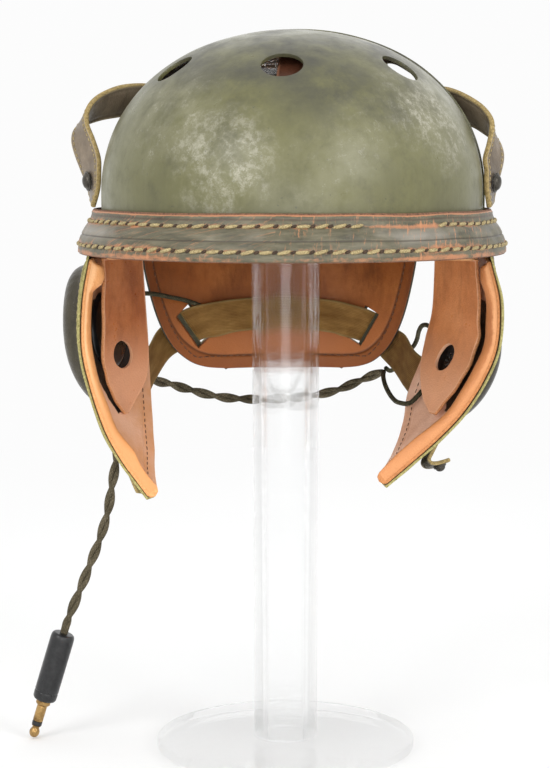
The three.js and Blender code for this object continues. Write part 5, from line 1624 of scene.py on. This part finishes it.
def make_side_strap(name, edges, side):
    surface = side_strap_surface(edges, side)
    columns, rows = 28, 190
    u, v = shares(columns, rows)
    points, out = surface(u, v), outward(surface, side, u, v)
    width = np.linalg.norm(points[:, -1] - points[:, 0], axis=-1)[:, None]
    d = np.minimum(u, 1 - u) * width
    groove = -0.3 * bell(d, SIDE_STRAP_SEAM, 0.7)
    seam = groove + 0.12 * wobble(points, size=20, seed=71)
    front = points + out * (SIDE_STRAP_WALL / 2 + seam)[..., None]
    back = points - out * (SIDE_STRAP_WALL / 2 + groove)[..., None]
    piece = slab(f"side_strap_{name}_leather", front, back, bulge=0.25, materials=[STRAP, STRAP_EDGE],
                 slot="strap_leather", turns=6)
    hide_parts(f"side_strap_{name}")
    inset = SIDE_STRAP_SEAM / width[:, 0]
    for tag, share in (("front", inset), ("rear", 1 - inset)):
        grid_places = np.arange(columns + 1)
        line = np.concatenate([read_line(row, grid_places, [at * columns]) for row, at in zip(front, share)])
        stitches(f"side_strap_{name}_stitches_{tag}", line, out[:, columns // 2], SIDE_STRAP_STITCH, THREAD,
                 "strap_leather")
    for stud, share, radius, rise, ring in (("strap_snap", SNAP_SHARE, SNAP_RADIUS, SNAP_RISE, True),
                                            ("strap_rivet", RIVET_SHARE, RIVET_RADIUS, RIVET_RISE, False)):
        place, axis = frame_at(surface, side, (0.5, share))
        place = place + axis * (SIDE_STRAP_WALL / 2 + STUD_STANDOFF)
        mesh = cap_mesh(f"{stud}_{name}_cap", place, axis, radius, rise, ring)
        cap = link(f"{stud}_{name}_cap", mesh, [DARK_METAL], "dark_metal")
        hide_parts(f"{stud}_{name}")


def tab_middle(surface, side, ends, reach, path):
    """The middle of a leather tab on a flap; its path says how far along it is and how far it stands off."""
    start, end = ends
    across = CHIN_TAB_WIDTH / np.linalg.norm(point_at(surface, *end) - point_at(surface, *start))
    height = np.linalg.norm(point_at(surface, 0.5, 1) - point_at(surface, 0.5, 0))
    tall = height / np.linalg.norm(point_at(surface, 1, start[1]) - point_at(surface, 0, start[1]))
    d_along, d_down = end[0] - start[0], end[1] - start[1]

    def middle(u, v):
        row = row_at(path, v)
        shift = (u - 0.5) * across
        along = start[0] + row["run"] * d_along + shift * d_down * tall
        down = start[1] + row["run"] * d_down - shift * d_along / tall
        lift = PIECE_GAP + CHIN_TAB_WALL / 2 + row["stand"] * reach
        return surface(along, down) + outward(surface, side, along, down) * lift[..., None]
    return middle


def make_chin_tabs():
    right, left = flap_surface(RIGHT_FLAP_EDGES, 1), flap_surface(LEFT_FLAP_EDGES, -1)
    folded = tab_middle(right, 1, FOLDED_TAB_ENDS, FOLDED_TAB_REACH, FOLDED_TAB_PATH)
    flat = tab_middle(left, -1, FLAT_TAB_ENDS, FLAT_TAB_REACH, FLAT_TAB_PATH)
    for name, middle, material, slot in (("chin_tab_right", folded, COVER, "cover_leather"),
                                         ("chin_tab_left", flat, STRAP, "strap_leather")):
        u, v = shares(16, 90)
        points, out = middle(u, v), normals(middle, u, v)
        half = CHIN_TAB_WALL / 2
        piece = slab(name + "_leather", points + out * half, points - out * half, bulge=0.25,
                     materials=[material, STRAP_EDGE], slot=slot)
        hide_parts(name)
    u, v = np.array([[0.5]]), np.array([[CHIN_SNAP_SHARE]])
    place, axis = folded(u, v)[0, 0], normals(folded, u, v)[0, 0]
    if axis[2] > 0:
        axis = -axis
    place = place + axis * (CHIN_TAB_WALL / 2 + PIECE_GAP)
    mesh = cap_mesh("chin_snap_right_cap", place, axis, CHIN_SNAP_RADIUS, SNAP_RISE, True)
    cap = link("chin_snap_right_cap", mesh, [DARK_METAL], "dark_metal")
    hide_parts("chin_snap_right")


# Stand
def stand_profiles():
    """The outlines of the head, the hollow column and the base, each as (radius, height)."""
    inset = CROWN_STRAP_INSET + 2 * CROWN_STRAP_WALL + 3 * PIECE_GAP
    crown = RIM_HEIGHT + SHELL_CREST - inset

    def fall(r):
        """How far the straps under the crown have dropped at a distance from the stand's middle."""
        reach = (r + abs(STAND_X)) / (SHELL_HALF_WIDTH - inset)
        lift = (1 - reach**SHELL_ROUNDNESS) ** (1 / SHELL_ROUNDNESS)
        return (SHELL_CREST - SHELL_UPRIGHT - inset) * (1 - lift)

    top = crown - PIECE_GAP
    under = top - fall(STAND_HEAD_RADIUS) - STAND_HEAD_THICKNESS
    head = [(0, under), (STAND_HEAD_RADIUS, under)]
    for i in range(13):
        radius = STAND_HEAD_RADIUS * (1 - i / 12)
        head.append((radius, top - fall(radius)))
    foot, cap = STAND_BASE_THICKNESS + PIECE_GAP, under - PIECE_GAP
    column = [
        (STAND_COLUMN_FOOT - STAND_COLUMN_WALL, foot), (STAND_COLUMN_FOOT, foot), (STAND_COLUMN_RADIUS, cap),
        (STAND_COLUMN_RADIUS - STAND_COLUMN_WALL, cap), (STAND_COLUMN_FOOT - STAND_COLUMN_WALL, foot),
    ]
    inner = STAND_BASE_RADIUS - STAND_BASE_EDGE
    base = [
        (0, 0), (inner, 0), (STAND_BASE_RADIUS, STAND_BASE_EDGE),
        (STAND_BASE_RADIUS, STAND_BASE_THICKNESS - STAND_BASE_EDGE), (inner, STAND_BASE_THICKNESS),
        (0, STAND_BASE_THICKNESS),
    ]
    return head, column, base


def make_stand():
    head, column, base = stand_profiles()
    for name, profile, radius in (("stand_head", head, 1.2), ("stand_column", column, 0),
                                  ("stand_base", base, 0.8)):
        turned = rounded(profile, radius) if radius else profile
        mesh = lathe_mesh(name + "_clear", turned, 96, (STAND_X, 0, -RIM_HEIGHT))
        piece = link(name + "_clear", mesh, [ACRYLIC], "acrylic")
        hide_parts(name)


make_camera()
BRASS = metal("brass", (0.16, 0.09, 0.035), (0.52, 0.33, 0.13), 0.3)
DARK_METAL = metal("dark_metal", (0.02, 0.019, 0.016), (0.11, 0.10, 0.085), 0.38)
BLACK = black_plastic()
BRAID = braid_cloth("cord_braid", (0.04, 0.033, 0.019), (0.12, 0.1, 0.062), (0.24, 0.2, 0.135))
LEAD_BRAID = braid_cloth("lead_braid", (0.03, 0.028, 0.016), (0.075, 0.07, 0.04), (0.14, 0.125, 0.075))
make_cords()

SHELL_PAINT = shell_paint()
BAND = band_leather()
BAND_EDGE = raw_edge("band_edge", (0.07, 0.035, 0.02), (0.26, 0.12, 0.065))
GREEN = leather("green_leather", (0.035, 0.036, 0.020), (0.062, 0.06, 0.036), (0.11, 0.105, 0.068),
                (0.3, 0.26, 0.13), wear=0.5, scuff=0.25)
GREEN_EDGE = raw_edge("green_edge", (0.17, 0.14, 0.035), (0.5, 0.45, 0.18))
# The two leaves are lit and shaded copies of one tan leather: the right one is painted lighter as painted
# light from the left front, and each is painted lighter low down as a painted sheen.
LEAF_LIT_AND_SHADED_LEATHERS = {
    "left": leather("left_leaf_shaded_leather", (0.20, 0.05, 0.011), (0.40, 0.115, 0.03), (0.52, 0.19, 0.065),
                    (0.66, 0.34, 0.2), wear=0.3, scuff=0.12, gloss=0.34,
                    low=((0.68, 0.33, 0.18), 0.268, 0.232)),
    "right": leather("right_leaf_lit_leather", (0.40, 0.13, 0.042), (0.66, 0.25, 0.09), (0.78, 0.35, 0.15),
                     (0.8, 0.45, 0.28), wear=0.3, scuff=0.12, gloss=0.34,
                     low=((0.78, 0.41, 0.24), 0.262, 0.225)),
}
TAN_EDGE = raw_edge("tan_edge", (0.36, 0.13, 0.045), (0.66, 0.31, 0.13))
# The neck lining is painted lighter low down: a painted sheen.
NECK_TAN = leather("neck_tan_leather", (0.13, 0.036, 0.006), (0.29, 0.083, 0.016), (0.44, 0.155, 0.042),
                   (0.13, 0.04, 0.014), wear=0.45, scuff=0.2, gloss=0.38, edge_reach=9.0,
                   low=((0.48, 0.165, 0.05), 0.288, 0.24), margin=((0.24, 0.07, 0.018), 9.5))
DARK_EDGE = raw_edge("dark_edge", (0.018, 0.018, 0.012), (0.06, 0.055, 0.035))
# The two linings are lit and shaded copies of one pale leather: the left one is painted lighter as painted
# light. Each flat face is painted paler as a painted sheen, and each lower part is painted by height as
# painted light and shade.
LINING_LIT_AND_SHADED_LEATHERS = {
    "left": [leather("left_lining_lit_leather", (0.62, 0.25, 0.08), (0.84, 0.37, 0.13), (0.92, 0.47, 0.19),
                     (0.9, 0.5, 0.24), wear=0.3, scuff=0.2, gloss=0.4, lining=(0.80, 0.46, 0.30),
                     low=((0.66, 0.28, 0.095), 0.255, 0.215)),
             raw_edge("left_lining_lit_edge", (0.62, 0.26, 0.09), (0.88, 0.43, 0.17))],
    "right": [leather("right_lining_shaded_leather", (0.38, 0.13, 0.042), (0.56, 0.215, 0.075), (0.68, 0.29, 0.11),
                      (0.72, 0.34, 0.15), wear=0.3, scuff=0.2, gloss=0.4, lining=(0.95, 0.62, 0.46),
                      low=((0.6, 0.25, 0.095), 0.26, 0.22)),
              raw_edge("right_lining_shaded_edge", (0.40, 0.15, 0.05), (0.66, 0.28, 0.1))],
}
PALE = leather("pale_leather", (0.5, 0.19, 0.06), (0.7, 0.31, 0.11), (0.82, 0.41, 0.17),
               (0.86, 0.5, 0.24), wear=0.4, scuff=0.2, gloss=0.44)
PALE_EDGE = raw_edge("pale_edge", (0.6, 0.26, 0.09), (0.85, 0.45, 0.19))
STRAP = leather("strap_leather", (0.08, 0.06, 0.04), (0.22, 0.172, 0.122), (0.36, 0.295, 0.22),
                (0.34, 0.27, 0.17), wear=0.5, scuff=0.3, gloss=0.34)
STRAP_EDGE = raw_edge("strap_edge", (0.15, 0.105, 0.035), (0.46, 0.34, 0.14))
CROWN = leather("crown_leather", (0.03, 0.011, 0.006), (0.085, 0.03, 0.015), (0.15, 0.06, 0.03),
                (0.2, 0.085, 0.045), wear=0.4, scuff=0.2)
COVER = leather("cover_leather", (0.016, 0.014, 0.009), (0.045, 0.038, 0.024), (0.10, 0.086, 0.055),
                (0.2, 0.16, 0.09), wear=0.3, scuff=0.25, gloss=0.3)
# The dark stitch holes of the band: painted shade inside the holes.
STITCH_HOLE_SHADE = raw_edge("stitch_hole_shade", (0.022, 0.013, 0.007), (0.075, 0.042, 0.022))
WEBBING = webbing_cloth()
THREAD = thread("stitch_thread", (0.19, 0.14, 0.055), (0.47, 0.375, 0.19))
DARK_THREAD = thread("dark_thread", (0.07, 0.026, 0.012), (0.2, 0.09, 0.04))
ACRYLIC = acrylic()

make_floor()
make_lights()
make_shell()
make_band()
make_inside()
make_ears()
make_neck_flap()
make_webbing()
make_side_strap("left", LEFT_STRAP_EDGES, -1)
make_side_strap("right", RIGHT_STRAP_EDGES, 1)
make_chin_tabs()
make_stand()
